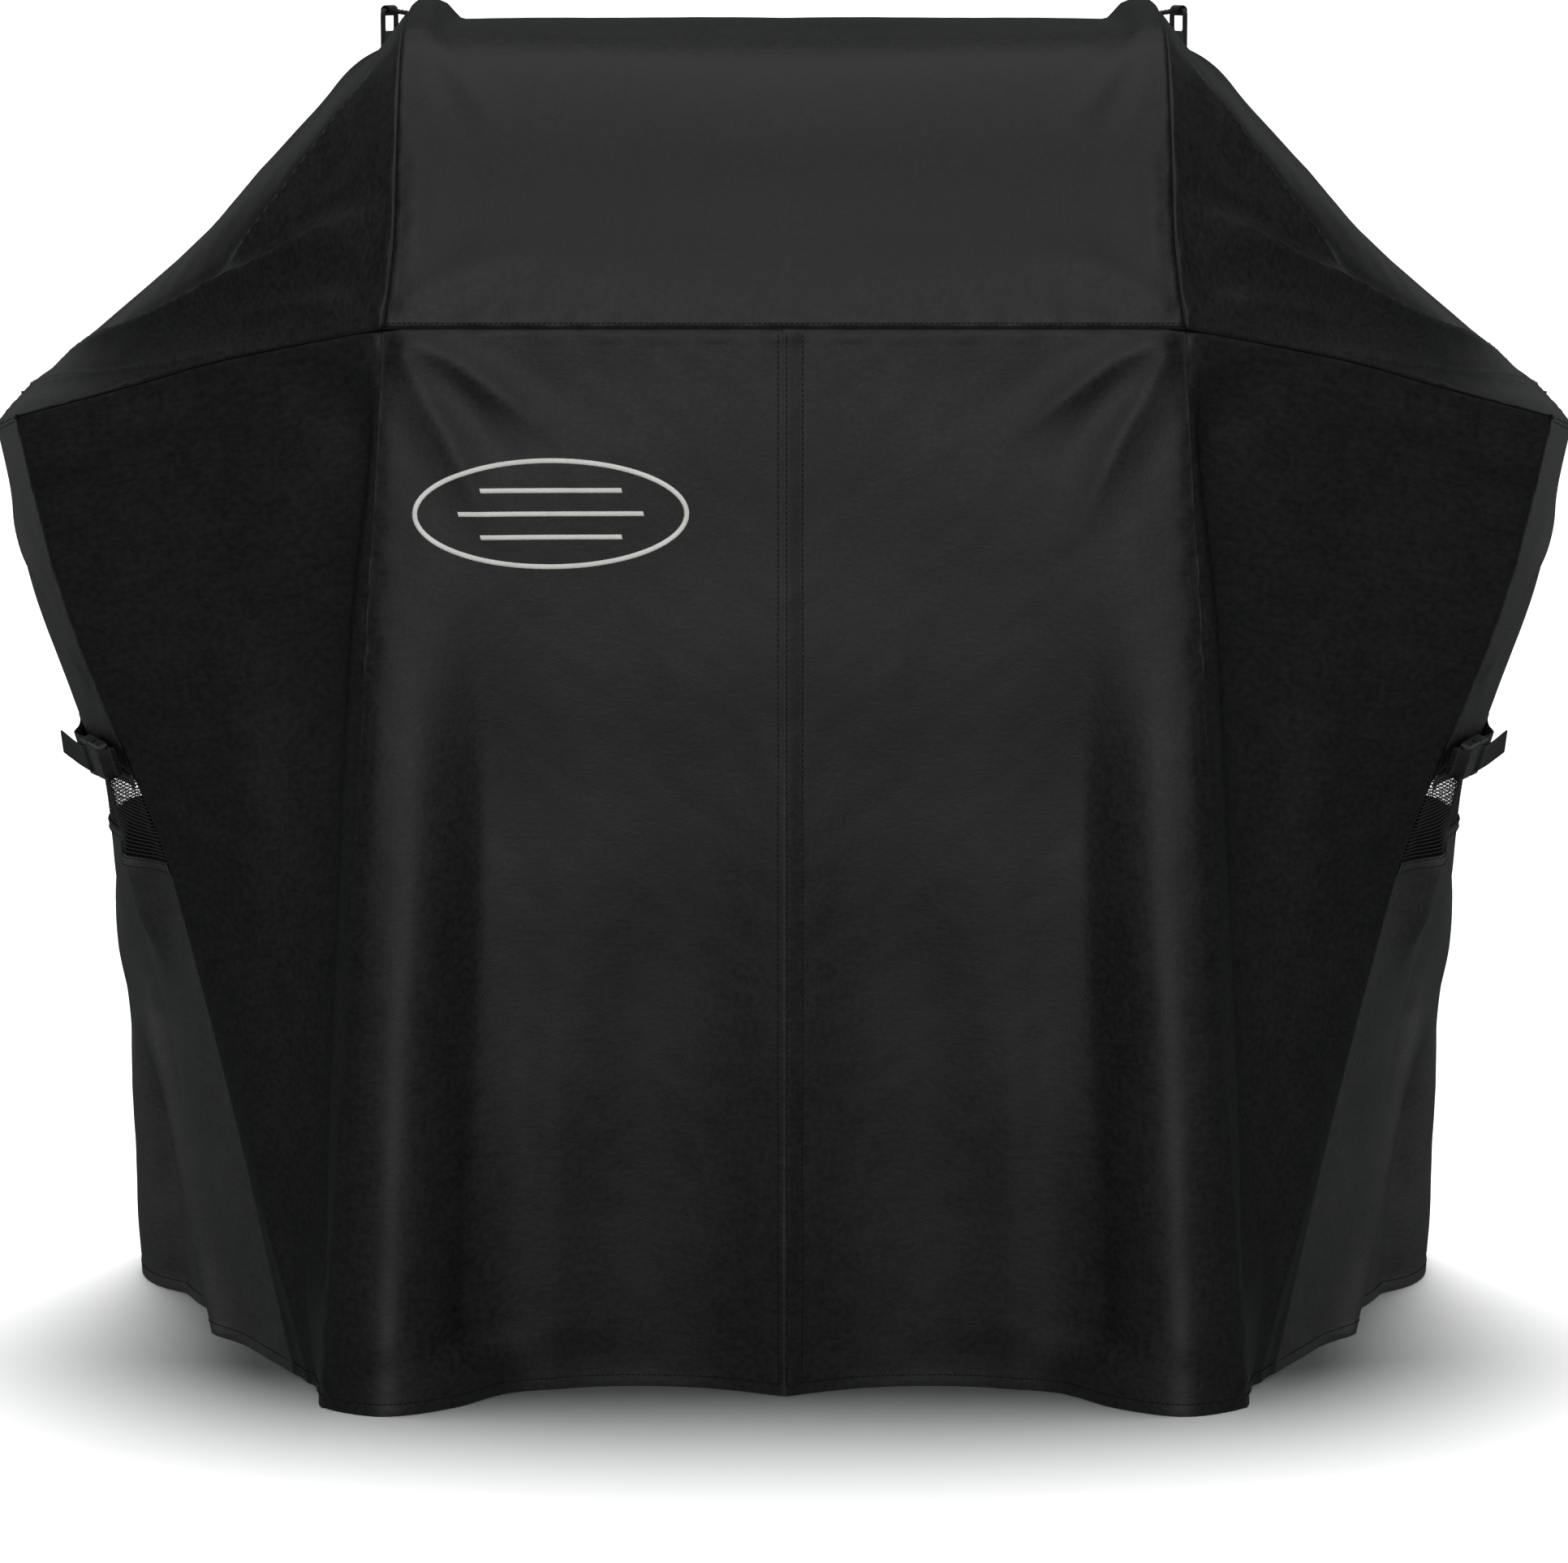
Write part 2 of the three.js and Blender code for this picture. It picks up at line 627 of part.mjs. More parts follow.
addPair("strap_front", strap([onCloth(0.02), inBuckle(socketEnd - 3), inBuckle(socketEnd + 2)]), webbing);
const rearShares = cuts(sideSteps, rejoinU, 0.985);
addPair("strap_rear", strap([inBuckle(mouth + 4), inBuckle(straightEnd), ...rearShares.map(onCloth)]), webbing);

// ---- Hanging frames ----
const turn = THREE.MathUtils.degToRad(frameTurn);
const frameAway = at(Math.cos(turn), Math.sin(turn), 0);
const frameAcross = at(-Math.sin(turn), Math.cos(turn), 0);
const hang = new THREE.Matrix4()
  .makeBasis(frameAcross, at(0, 0, 1), frameAway)
  .setPosition(at(frameX, frameY, frameZ));

// Local x runs along the top bar, y is up and z points away from the cover; the origin is the bar's middle.
function hangingFrame() {
  const outline = roundedRectangle(frameWidth, frameHeight, 6);
  const slotWidth = frameWidth - 2 * frameBar;
  const slotHeight = (frameHeight - 2 * frameBar - frameRung) / 2;
  const slotOffset = (frameRung + slotHeight) / 2;
  for (const y of [-slotOffset, slotOffset]) {
    const hole = roundedRectangle(slotWidth, slotHeight, 2.5).getPoints(3);
    outline.holes.push(new THREE.Path(hole.map((p) => p.clone().add(new THREE.Vector2(0, y)))));
  }
  const bevel = { depth: frameBar - 1.6, bevelSize: 0.8, bevelThickness: 0.8, bevelOffset: -0.8, bevelSegments: 1 };
  const geometry = new THREE.ExtrudeGeometry(outline, { ...bevel, curveSegments: 3 });
  geometry.translate(0, frameBar / 2 - frameHeight / 2, 0.8 - frameBar / 2);
  return solidOf(geometry).applyMatrix4(hang);
}

// The tab is one length of webbing, folded round the frame's top bar and sewn together towards the cover.
function hangingTab() {
  const inner = frameBar * 0.71 + runningGap;
  const outer = inner + tabThickness;
  const rise = tabThickness;
  const outline = new THREE.Shape();
  const spread = Math.asin(rise / outer);
  outline.absarc(0, 0, outer, -Math.PI + spread, Math.PI - spread);
  outline.lineTo(-tabLength, rise - 5);
  outline.lineTo(-tabLength, -rise - 5);
  const eye = new THREE.Path();
  eye.absarc(0, 0, inner, 0, 2 * Math.PI, true);
  outline.holes.push(eye);
  const geometry = new THREE.ExtrudeGeometry(outline, { depth: tabWidth, bevelEnabled: false, curveSegments: 14 });
  const turned = new THREE.Matrix4().makeBasis(at(0, 0, 1), at(0, 1, 0), at(-1, 0, 0));
  return solidOf(geometry).applyMatrix4(turned.setPosition(at(tabWidth / 2, 0, 0))).applyMatrix4(hang);
}

addPair("hanging_frame", hangingFrame(), plastic);
addPair("hanging_tab", hangingTab(), webbing);

// ---- Badge: an embroidered oval with three bars, on the left front ----
function onFront(x, z) {
  const v = (waistHeight - z) / waistHeight;
  const u = x / (waistHalfWidth + (hemCornerX - waistHalfWidth) * v);
  return frontSurface(u, v).add(outward(frontSurface, u, v).multiplyScalar(1.2 + badgeLine / 2));
}

function stitchedLine(points, closed) {
  const path = new THREE.CatmullRomCurve3(points, closed);
  const r = badgeLine / 2;
  const section = new THREE.Shape([
    new THREE.Vector2(-r, 0),
    new THREE.Vector2(0, -r),
    new THREE.Vector2(r, 0),
    new THREE.Vector2(0, r),
  ]);
  const line = new THREE.ExtrudeGeometry(section, { steps: closed ? 28 : 6, extrudePath: path });
  return mirroredGeometry(solidOf(line));
}

const ovalPoints = [...Array(24).keys()].map((k) => {
  const angle = (2 * Math.PI * k) / 24;
  return onFront(badgeX + (badgeWidth / 2) * Math.cos(angle), badgeZ + (badgeHeight / 2) * Math.sin(angle));
});
add("badge_oval", stitchedLine(ovalPoints, true), thread);
for (let k = 0; k < badgeBars; k++) {
  const z = badgeZ + (k - 1) * badgeHeight * 0.22;
  const half = badgeWidth * (k === 1 ? 0.34 : 0.26);
  const points = [-1, -0.5, 0, 0.5, 1].map((t) => onFront(badgeX + half * t, z));
  add(`badge_bar_${k + 1}`, stitchedLine(points, false), thread);
}

// ---- Centre the cover front to back ----
const bounds = new THREE.Box3().setFromObject(part);
part.position.y = -(bounds.min.y + bounds.max.y) / 2;
part.updateMatrixWorld(true);

export default part;
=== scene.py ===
"""A fitted cloth cover for a gas grill with two side shelves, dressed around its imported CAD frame.

The cover is built the way it is sewn: cut panels of coated cloth between shared seam lines, doubled and
stitched hems, mesh side vents, buckled side straps, hanging frames on webbing tabs and an embroidered badge.
Everything is in metres, +Z up, with the front facing -Y and the origin on the floor under the middle.
"""

import logging
import math
from dataclasses import dataclass, field, replace
from enum import Enum
from typing import Callable, Iterable, Sequence

import bpy
import numpy as np
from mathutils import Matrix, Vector


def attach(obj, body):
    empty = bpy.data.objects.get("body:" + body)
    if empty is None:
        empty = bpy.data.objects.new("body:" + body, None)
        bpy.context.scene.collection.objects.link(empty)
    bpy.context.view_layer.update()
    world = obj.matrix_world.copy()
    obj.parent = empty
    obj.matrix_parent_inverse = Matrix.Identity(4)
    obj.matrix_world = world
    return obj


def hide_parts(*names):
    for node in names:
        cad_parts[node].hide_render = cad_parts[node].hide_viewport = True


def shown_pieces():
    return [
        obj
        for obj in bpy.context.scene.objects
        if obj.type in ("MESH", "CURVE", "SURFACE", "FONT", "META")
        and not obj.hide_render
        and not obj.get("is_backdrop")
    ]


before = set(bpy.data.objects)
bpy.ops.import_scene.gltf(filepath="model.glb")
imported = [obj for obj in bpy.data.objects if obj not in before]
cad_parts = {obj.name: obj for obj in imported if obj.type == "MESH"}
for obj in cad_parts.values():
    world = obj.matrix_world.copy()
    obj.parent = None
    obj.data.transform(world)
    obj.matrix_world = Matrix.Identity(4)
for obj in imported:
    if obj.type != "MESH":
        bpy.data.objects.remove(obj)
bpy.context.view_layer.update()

log = logging.getLogger("grill_cover")
Grid = np.ndarray
Surface = Callable[[Grid, Grid], Grid]
Frame = tuple[Grid, Grid, Grid]
SIDES = {"left": -1.0, "right": 1.0}
MIRROR = (-1.0, 1.0, 1.0)
UP = np.array((0.0, 0.0, 1.0))
SPAN_SAMPLES = 48
CORD_SIDES = 7
YARN_SIDES = 4
OFF_AXIS = (0.31, 0.17, 0.93)
THREAD_RADIUS = 0.00042
STITCH_PITCH = 1.35
SHORT_STITCH = 0.0026
SHARP_ANGLE = math.radians(75.0)


# ---------------------------------------------------------------- shader tools
class Value:
    """A shader socket carrying a number, on which ordinary arithmetic adds Math nodes."""

    def __init__(self, nodes: "Nodes", socket: bpy.types.NodeSocket) -> None:
        """Wraps a socket of the given node builder."""
        self.nodes = nodes
        self.socket = socket

    def _math(self, operation: str, *values: "Value | float") -> "Value":
        """Adds one Math node on this value.

        Args:
            operation: The Math node's operation.
            values: The inputs, in order.

        Returns:
            The node's result.
        """
        settings = {"operation": operation}
        return Value(self.nodes, self.nodes.add("ShaderNodeMath", settings, dict(enumerate(values))).outputs[0])

    def __add__(self, other: "Value | float") -> "Value":
        """Sum."""
        return self._math("ADD", self, other)

    def __sub__(self, other: "Value | float") -> "Value":
        """Difference."""
        return self._math("SUBTRACT", self, other)

    def __mul__(self, other: "Value | float") -> "Value":
        """Product."""
        return self._math("MULTIPLY", self, other)

    def sine(self) -> "Value":
        """Sine of the value in radians."""
        return self._math("SINE", self)

    def clipped(self) -> "Value":
        """The value held between 0 and 1."""
        return self._math("MAXIMUM", self._math("MINIMUM", self, 1.0), 0.0)


class Nodes:
    """Builds one material's node tree."""

    def __init__(self, name: str) -> None:
        """Starts an empty material with a principled shader wired to its output."""
        self.material = bpy.data.materials.new(name)
        self.material.use_nodes = True
        self.tree = self.material.node_tree
        self.tree.nodes.clear()
        self.shader = self.tree.nodes.new("ShaderNodeBsdfPrincipled")
        output = self.tree.nodes.new("ShaderNodeOutputMaterial")
        self.tree.links.new(self.shader.outputs[0], output.inputs[0])

    def add(self, kind: str, settings: dict | None = None, inputs: dict | None = None) -> bpy.types.Node:
        """Adds any node.

        Args:
            kind: The node's type name.
            settings: Properties of the node, set first.
            inputs: Values or links for its sockets, by name or number.

        Returns:
            The new node.
        """
        node = self.tree.nodes.new(kind)
        for key, setting in (settings or {}).items():
            setattr(node, key, setting)
        for key, content in (inputs or {}).items():
            self.plug(node.inputs[key], content)
        return node

    def plug(self, socket: bpy.types.NodeSocket, content: object) -> None:
        """Sets a socket to a number or colour, or links a value or an output to it."""
        if isinstance(content, Value):
            self.tree.links.new(content.socket, socket)
        elif isinstance(content, bpy.types.NodeSocket):
            self.tree.links.new(content, socket)
        else:
            socket.default_value = content

    def along(self, attribute: str) -> tuple[bpy.types.NodeSocket, Value, Value]:
        """The cloth's own measure, from a vector attribute of the mesh.

        Args:
            attribute: Name of the vector attribute, in metres.

        Returns:
            The vector output and its first two parts.
        """
        vector = self.add("ShaderNodeAttribute", {"attribute_name": attribute}).outputs["Vector"]
        parts = self.add("ShaderNodeSeparateXYZ", None, {0: vector})
        return vector, Value(self, parts.outputs[0]), Value(self, parts.outputs[1])

    def place(self) -> bpy.types.NodeSocket:
        """The object's own coordinates."""
        return self.add("ShaderNodeTexCoord").outputs["Object"]

    def scaled(self, vector: bpy.types.NodeSocket, factors: tuple[float, float, float]) -> bpy.types.NodeSocket:
        """A vector with its parts multiplied by factors."""
        return self.add("ShaderNodeVectorMath", {"operation": "MULTIPLY"}, {0: vector, 1: factors}).outputs[0]

    def cloud(self, vector: bpy.types.NodeSocket, scale: float, detail: float) -> Value:
        """Soft noise between about 0 and 1.

        Args:
            vector: Where it is read.
            scale: Lumps per metre.
            detail: Octaves.

        Returns:
            The noise value.
        """
        inputs = {"Vector": vector, "Scale": scale, "Detail": detail}
        return Value(self, self.add("ShaderNodeTexNoise", None, inputs).outputs[0])

    def blend(self, share: Value, first: Sequence[float], second: Sequence[float]) -> bpy.types.NodeSocket:
        """Mixes two colours by a varying share."""
        mix = self.add("ShaderNodeMix", {"data_type": "RGBA"}, {0: share, 6: (*first, 1.0), 7: (*second, 1.0)})
        return mix.outputs[2]

    def surface(
        self, colour: bpy.types.NodeSocket, roughness: Value, height: Value, distance: float, strength: float
    ) -> None:
        """Feeds the shader.

        Args:
            colour: The base colour.
            roughness: The roughness, held between 0 and 1 here.
            height: Height of the relief from 0 to 1.
            distance: What a height of 1 means, in metres.
            strength: How much of the relief is used.
        """
        relief = self.add("ShaderNodeBump", None, {"Height": height, "Distance": distance, "Strength": strength})
        inputs = {"Base Color": colour, "Roughness": roughness.clipped(), "Normal": relief.outputs[0]}
        for name, content in inputs.items():
            self.plug(self.shader.inputs[name], content)

    def fixed(self, **sockets: float) -> None:
        """Sets shader sockets that are the same all over, named with underscores for spaces."""
        for key, number in sockets.items():
            self.shader.inputs[key.replace("_", " ")].default_value = number


# ---------------------------------------------------------------- finishes
@dataclass(frozen=True)
class CoatedCloth:
    """Matt coated polyester: a fine plain weave, slubs along the threads and faint rubbing."""

    name: str = "coated_cloth"
    dark: tuple[float, float, float] = (0.0040, 0.0041, 0.0040)
    light: tuple[float, float, float] = (0.0190, 0.0189, 0.0186)
    thread: float = 0.0011
    gloss: float = 0.42
    stretch: float = 0.12
    slub_scale: float = 320.0
    grain_scale: float = 700.0
    mottle_scale: float = 190.0
    blotch_scale: float = 42.0
    rub_scale: float = 5.0
    relief: float = 0.00035

    def material(self) -> bpy.types.Material:
        """Builds the material."""
        n = Nodes(self.name)
        cloth, across, down = n.along("cloth")
        turn = 2.0 * math.pi / self.thread
        weave = (across * turn).sine() * (down * turn).sine() * 0.5 + 0.5
        slub = n.cloud(n.scaled(cloth, (1.0, self.stretch, 1.0)), self.slub_scale, 3.0)
        pick = n.cloud(n.scaled(cloth, (self.stretch, 1.0, 1.0)), self.slub_scale, 3.0)
        grain = n.cloud(cloth, self.grain_scale, 2.0)
        rubbed = n.cloud(n.place(), self.rub_scale, 4.0)
        mottle = n.cloud(cloth, self.mottle_scale, 4.0)
        blotch = n.cloud(cloth, self.blotch_scale, 4.0)
        share = slub * 0.4 + pick * 0.4 + grain + rubbed * 0.6 + mottle * 1.9 + blotch * 0.9 + weave * 0.1 - 2.15
        roughness = rubbed * 0.08 + mottle * 0.22 + blotch * 0.10 + grain * 0.10 + 0.25
        height = weave * 0.12 + slub * 0.2 + pick * 0.2 + grain * 0.6 + mottle * 0.9
        n.surface(n.blend(share.clipped(), self.dark, self.light), roughness, height, self.relief, 0.7)
        n.fixed(Specular_IOR_Level=self.gloss)
        return n.material


@dataclass(frozen=True)
class WovenTape:
    """Ribbed polypropylene webbing."""

    name: str = "woven_tape"
    dark: tuple[float, float, float] = (0.006, 0.006, 0.0062)
    light: tuple[float, float, float] = (0.021, 0.021, 0.0215)
    rib: float = 0.0016
    slant: float = 0.6
    fuzz_scale: float = 1500.0
    relief: float = 0.0004

    def material(self) -> bpy.types.Material:
        """Builds the material."""
        n = Nodes(self.name)
        tape, along, across = n.along("cloth")
        turn = 2.0 * math.pi / self.rib
        leaning = ((along + across * self.slant) * turn).sine() * 0.5 + 0.5
        crossing = ((along - across * self.slant) * turn).sine() * 0.5 + 0.5
        ribs = leaning * crossing
        fuzz = n.cloud(tape, self.fuzz_scale, 2.0)
        colour = n.blend((ribs * 0.8 + fuzz * 0.5 - 0.1).clipped(), self.dark, self.light)
        n.surface(colour, fuzz * 0.2 + 0.55, ribs + fuzz * 0.3, self.relief, 0.8)
        n.fixed(Specular_IOR_Level=0.3, Sheen_Weight=0.04)
        return n.material


@dataclass(frozen=True)
class MouldedPlastic:
    """Satin black acetal with a faint mould texture and handling marks."""

    name: str = "moulded_plastic"
    dark: tuple[float, float, float] = (0.012, 0.012, 0.0122)
    light: tuple[float, float, float] = (0.034, 0.034, 0.0345)
    texture_scale: float = 2600.0
    mark_scale: float = 120.0
    relief: float = 0.00008

    def material(self) -> bpy.types.Material:
        """Builds the material."""
        n = Nodes(self.name)
        here = n.place()
        texture = n.cloud(here, self.texture_scale, 2.0)
        marks = n.cloud(here, self.mark_scale, 4.0)
        colour = n.blend((marks * 1.2 - 0.2).clipped(), self.dark, self.light)
        n.surface(colour, marks * 0.22 + texture * 0.08 + 0.22, texture + marks * 0.4, self.relief, 0.7)
        n.fixed(Specular_IOR_Level=0.5)
        return n.material


@dataclass(frozen=True)
class Thread:
    """Twisted sewing or embroidery thread in one colour."""

    name: str
    dark: tuple[float, float, float]
    light: tuple[float, float, float]
    roughness: float = 0.5
    ply_scale: float = 1800.0
    tone_scale: float = 60.0
    relief: float = 0.0002

    def material(self) -> bpy.types.Material:
        """Builds the material."""
        n = Nodes(self.name)
        here = n.place()
        ply = n.cloud(here, self.ply_scale, 2.0)
        tone = n.cloud(here, self.tone_scale, 2.0)
        colour = n.blend((ply * 0.7 + tone * 0.5 - 0.1).clipped(), self.dark, self.light)
        n.surface(colour, ply * 0.25 + self.roughness, ply, self.relief, 0.6)
        n.fixed(Specular_IOR_Level=0.25)
        return n.material


class Finish(Enum):
    """The finishes of the cover, each made once."""

    CLOTH = CoatedCloth()
    # painted shade: the seam cords' cloth is darker and duller than the cover cloth, so the seam grooves read as dark
    # shadow lines
    LINING = CoatedCloth("seam_cloth_painted_shade", (0.0025, 0.0025, 0.0025), (0.006, 0.006, 0.006), gloss=0.12)
    MESH = WovenTape("vent_mesh", (0.010, 0.010, 0.0102), (0.030, 0.030, 0.0302))
    TAPE = WovenTape()
    PLASTIC = MouldedPlastic()
    BLACK_THREAD = Thread("black_thread", (0.003, 0.003, 0.003), (0.008, 0.008, 0.008), 0.6)
    WHITE_THREAD = Thread("white_thread", (0.66, 0.65, 0.63), (0.90, 0.89, 0.86), 0.4)

    @property
    def slot(self) -> str:
        """The record's material slot that the finish belongs to."""
        return SLOTS[self.name]

    def material(self) -> bpy.types.Material:
        """The finish's material, built at its first use."""
        return bpy.data.materials.get(self.value.name) or self.value.material()


SLOTS = {
    "CLOTH": "cloth",
    "LINING": "cloth",
    "MESH": "mesh_cloth",
    "TAPE": "webbing",
    "PLASTIC": "plastic",
    "BLACK_THREAD": "thread",
    "WHITE_THREAD": "thread",
}


# ---------------------------------------------------------------- seam lines and surfaces
def smooth(low: float, high: float, x: Grid) -> Grid:
    """A smooth step from 0 at low to 1 at high."""
    t = np.clip((x - low) / (high - low), 0.0, 1.0)
    return t * t * (3.0 - 2.0 * t)


def unit(vectors: Grid) -> Grid:
    """Vectors scaled to length 1."""
    return vectors / np.maximum(np.linalg.norm(vectors, axis=-1, keepdims=True), 1e-12)


def travel_along(points: Grid) -> Grid:
    """Distances travelled along a line of points, from its first."""
    return np.concatenate([[0.0], np.cumsum(np.linalg.norm(np.diff(points, axis=0), axis=1))])


def read_at(where: Grid, stops: Grid, values: Grid) -> Grid:
    """Vectors read between stops, given where and the vectors at the stops."""
    return np.stack([np.interp(where, stops, values[:, k]) for k in range(3)], axis=-1)


class Seam:
    """A smooth line through a few points, read by its share of length."""

    def __init__(self, *points: Sequence[float]) -> None:
        """Fits a centripetal curve through the points and measures it."""
        p = np.array(points, float)
        padded = np.vstack([2 * p[0] - p[1], p, 2 * p[-1] - p[-2]])
        samples = [self._span(padded[k : k + 4]) for k in range(len(p) - 1)]
        self.line = np.vstack([*samples, p[-1:]])
        self.travel = travel_along(self.line)
        self.length = float(self.travel[-1])

    @staticmethod
    def _span(q: Grid) -> Grid:
        """Samples the curve between the second and third of four points."""
        d0, d1, d2 = (max(float(np.sum((q[k + 1] - q[k]) ** 2)) ** 0.25, 1e-6) for k in range(3))
        start = ((q[1] - q[0]) / d0 - (q[2] - q[0]) / (d0 + d1) + (q[2] - q[1]) / d1) * d1
        end = ((q[2] - q[1]) / d1 - (q[3] - q[1]) / (d1 + d2) + (q[3] - q[2]) / d2) * d1
        t = np.linspace(0.0, 1.0, SPAN_SAMPLES, endpoint=False)[:, None]
        bend = -3 * q[1] + 3 * q[2] - 2 * start - end
        return q[1] + start * t + bend * t**2 + (2 * q[1] - 2 * q[2] + start + end) * t**3

    def at(self, share: Grid | float) -> Grid:
        """Points at shares of the length from 0 to 1."""
        return read_at(np.clip(np.asarray(share, float), 0.0, 1.0) * self.length, self.travel, self.line)


def between(top: Seam, bottom: Seam, start: Seam, end: Seam, belly: Surface | None = None) -> Surface:
    """A surface stretched between four seam lines.

    Args:
        top: The line at v = 0, along u.
        bottom: The line at v = 1, along u.
        start: The line at u = 0, along v.
        end: The line at u = 1, along v.
        belly: An extra offset at u and v.

    Returns:
        A function from arrays of u and v to points.
    """

    def face(u: Grid, v: Grid) -> Grid:
        """Points at u and v."""
        us, vs = u[..., None], v[..., None]
        along = start.at(v) * (1 - us) + end.at(v) * us
        over = top.at(u) * (1 - vs) + bottom.at(u) * vs
        chord_top = start.at(0.0) * (1 - us) + end.at(0.0) * us
        chord_bottom = start.at(1.0) * (1 - us) + end.at(1.0) * us
        points = along + over - (chord_top * (1 - vs) + chord_bottom * vs)
        return points if belly is None else points + belly(u, v)

    return face


def over_middle(half: Surface) -> Surface:
    """A right half's surface carried over the middle to the left."""

    def face(u: Grid, v: Grid) -> Grid:
        """Points at u and v, with u = 0.5 in the middle."""
        points = half(np.abs(2 * u - 1), v)
        return points * np.where(u < 0.5, -1.0, 1.0)[..., None] ** np.array([1.0, 0.0, 0.0])

    return face


@dataclass
class CoverForm:
    """The draped shape of the right half: driving sizes, seam lines and the surfaces between them."""

    lid_half: float = 0.312
    lid_top: float = 1.120
    cap_rise: float = 0.016
    lid_front: float = -0.250
    lid_back: float = 0.250
    waist: float = 0.884
    waist_half: float = 0.322
    shelf_front_half: float = 0.637
    shelf_rear_half: float = 0.683
    shelf: float = 0.803
    shelf_drop: float = 0.025
    shelf_front: float = -0.130
    shelf_rear: float = 0.240
    slope_sag: float = 0.016
    pleat: tuple[float, float] = (0.329, -0.310)
    pleat_foot: float = 0.227
    hem_corner: tuple[float, float] = (0.383, -0.285)
    hem_recess: float = -0.220
    side_hem_front: tuple[float, float] = (0.413, -0.180)
    side_hem_rear: tuple[float, float] = (0.580, 0.262)
    back_hem: float = 0.309
    strap: float = 0.512
    cinch_front: tuple[float, float] = (0.553, -0.110)
    cinch_rear: tuple[float, float] = (0.575, 0.246)
    side_belly: float = 0.020
    hem_height: float = 0.022
    vent_top: float = 0.494
    vent_height: float = 0.074

    def __post_init__(self) -> None:
        """Lays out the seams and surfaces."""
        self._seams()
        self._surfaces()

    def _lid_line(self, front: Grid, rear: Grid, top: float, x: float) -> Seam:
        """A line over the lid from its front to its back."""
        rise = top - self.waist
        y = self.lid_front
        return Seam(
            front,
            (x + 0.002, y + 0.012, self.waist + 0.27 * rise),
            (x, y + 0.040, self.waist + 0.64 * rise),
            (x, y + 0.096, top - 0.022),
            (x, y + 0.190, top),
            (x, self.lid_back - 0.110, top + 0.001),
            rear,
        )

    def _seams(self) -> None:
        """Makes the seam lines of the right half."""
        seam_top = self.lid_top + self.cap_rise - 0.005
        mix = lambda a, b, t: np.array(a) * (1 - t) + np.array(b) * t
        waist_middle = np.array((0.0, self.lid_front, self.waist))
        waist_corner = np.array((self.waist_half, self.lid_front, self.waist))
        lid_rear = np.array((self.lid_half, self.lid_back, seam_top - 0.024))
        lid_rear_middle = np.array((0.0, self.lid_back, self.lid_top - 0.024))
        shelf_front = np.array((self.shelf_front_half, self.shelf_front, self.shelf))
        shelf_rear = np.array((self.shelf_rear_half, self.shelf_rear, self.shelf - 0.013))
        back_middle = np.array((0.0, self.lid_back + 0.014, shelf_rear[2]))
        hem_middle = np.array((0.0, self.lid_front, 0.0))
        hem_corner = np.array((*self.hem_corner, 0.0))
        hem_front = np.array((*self.side_hem_front, 0.0))
        hem_rear = np.array((*self.side_hem_rear, 0.0))
        back_hem_middle = np.array((0.0, self.back_hem - 0.014, 0.0))
        run = self.shelf_front_half - self.waist_half
        cinch_front = np.array((*self.cinch_front, self.strap))
        cinch_rear = np.array((*self.cinch_rear, self.strap))
        px, py = self.pleat
        self.lid_side = self._lid_line(waist_corner, lid_rear, seam_top, self.lid_half)
        self.lid_middle = self._lid_line(waist_middle, lid_rear_middle, self.lid_top, 0.0)
        self.waist_line = Seam(waist_middle, waist_corner)
        self.lid_rear = Seam(lid_rear_middle, lid_rear)
        self.shelf_front_line = Seam(
            waist_corner,
            (self.waist_half + 0.46 * run, self.lid_front + 0.058, self.shelf + 0.049),
            (self.waist_half + 0.65 * run, self.lid_front + 0.082, self.shelf + 0.031),
            shelf_front,
        )
        self.shelf_edge = Seam(
            shelf_front,
            (self.shelf_front_half + 0.030, self.shelf_front + 0.110, self.shelf - 0.017),
            (self.shelf_rear_half + 0.004, self.shelf_rear - 0.100, self.shelf - self.shelf_drop),
            shelf_rear,
        )
        self.slope_line = Seam(
            lid_rear,
            mix(lid_rear, shelf_rear, 0.5) + (0.0, 0.003, -0.006),
            shelf_rear,
        )
        self.front_middle = Seam(waist_middle, hem_middle)
        self.corner = Seam(waist_corner, (0.352, -0.262, 0.450), hem_corner)
        self.front_hem = Seam(
            hem_middle,
            (0.31 * self.pleat_foot, self.hem_recess - 0.004, 0.0),
            (0.75 * self.pleat_foot, self.hem_recess, 0.0),
            (self.pleat_foot, self.hem_recess - 0.018, 0.0),
            (self.pleat_foot + 0.044, py + 0.026, 0.0),
            (px, py, 0.0),
            hem_corner,
        )
        self.gusset_hem = Seam(hem_corner, (0.388, -0.222, 0.0), hem_front)
        half_way = mix(shelf_front, cinch_front, 0.5) + (0.008, 0.008, -0.008)
        self.side_front = Seam(
            shelf_front, half_way, cinch_front, (0.521, -0.118, 0.430), (0.470, -0.138, 0.240), hem_front
        )
        self.side_rear = Seam(
            shelf_rear, mix(shelf_rear, cinch_rear, 0.4), cinch_rear, (0.584, 0.252, 0.300), hem_rear
        )
        waves = ((0.44, 0.31), (0.52, 0.44), (0.9, 0.66), (1.02, 0.84))
        self.side_hem = Seam(hem_front, *(hem_front + (hem_rear - hem_front) * (a, b, 0.0) for a, b in waves), hem_rear)
        self.back_middle = Seam(back_middle, back_hem_middle)
        self.back_upper_middle = Seam(lid_rear_middle, back_middle)
        self.back_shelf = Seam(back_middle, shelf_rear)
        x = self.side_hem_rear[0]
        self.back_hem_line = Seam(
            back_hem_middle,
            (0.26 * x, self.back_hem - 0.002, 0.0),
            (0.5 * x, self.back_hem - 0.022, 0.0),
            (0.74 * x, self.back_hem + 0.001, 0.0),
            hem_rear,
        )

    def _surfaces(self) -> None:
        """Stretches the cloth between the seams."""
        pi, flat = math.pi, 0.0

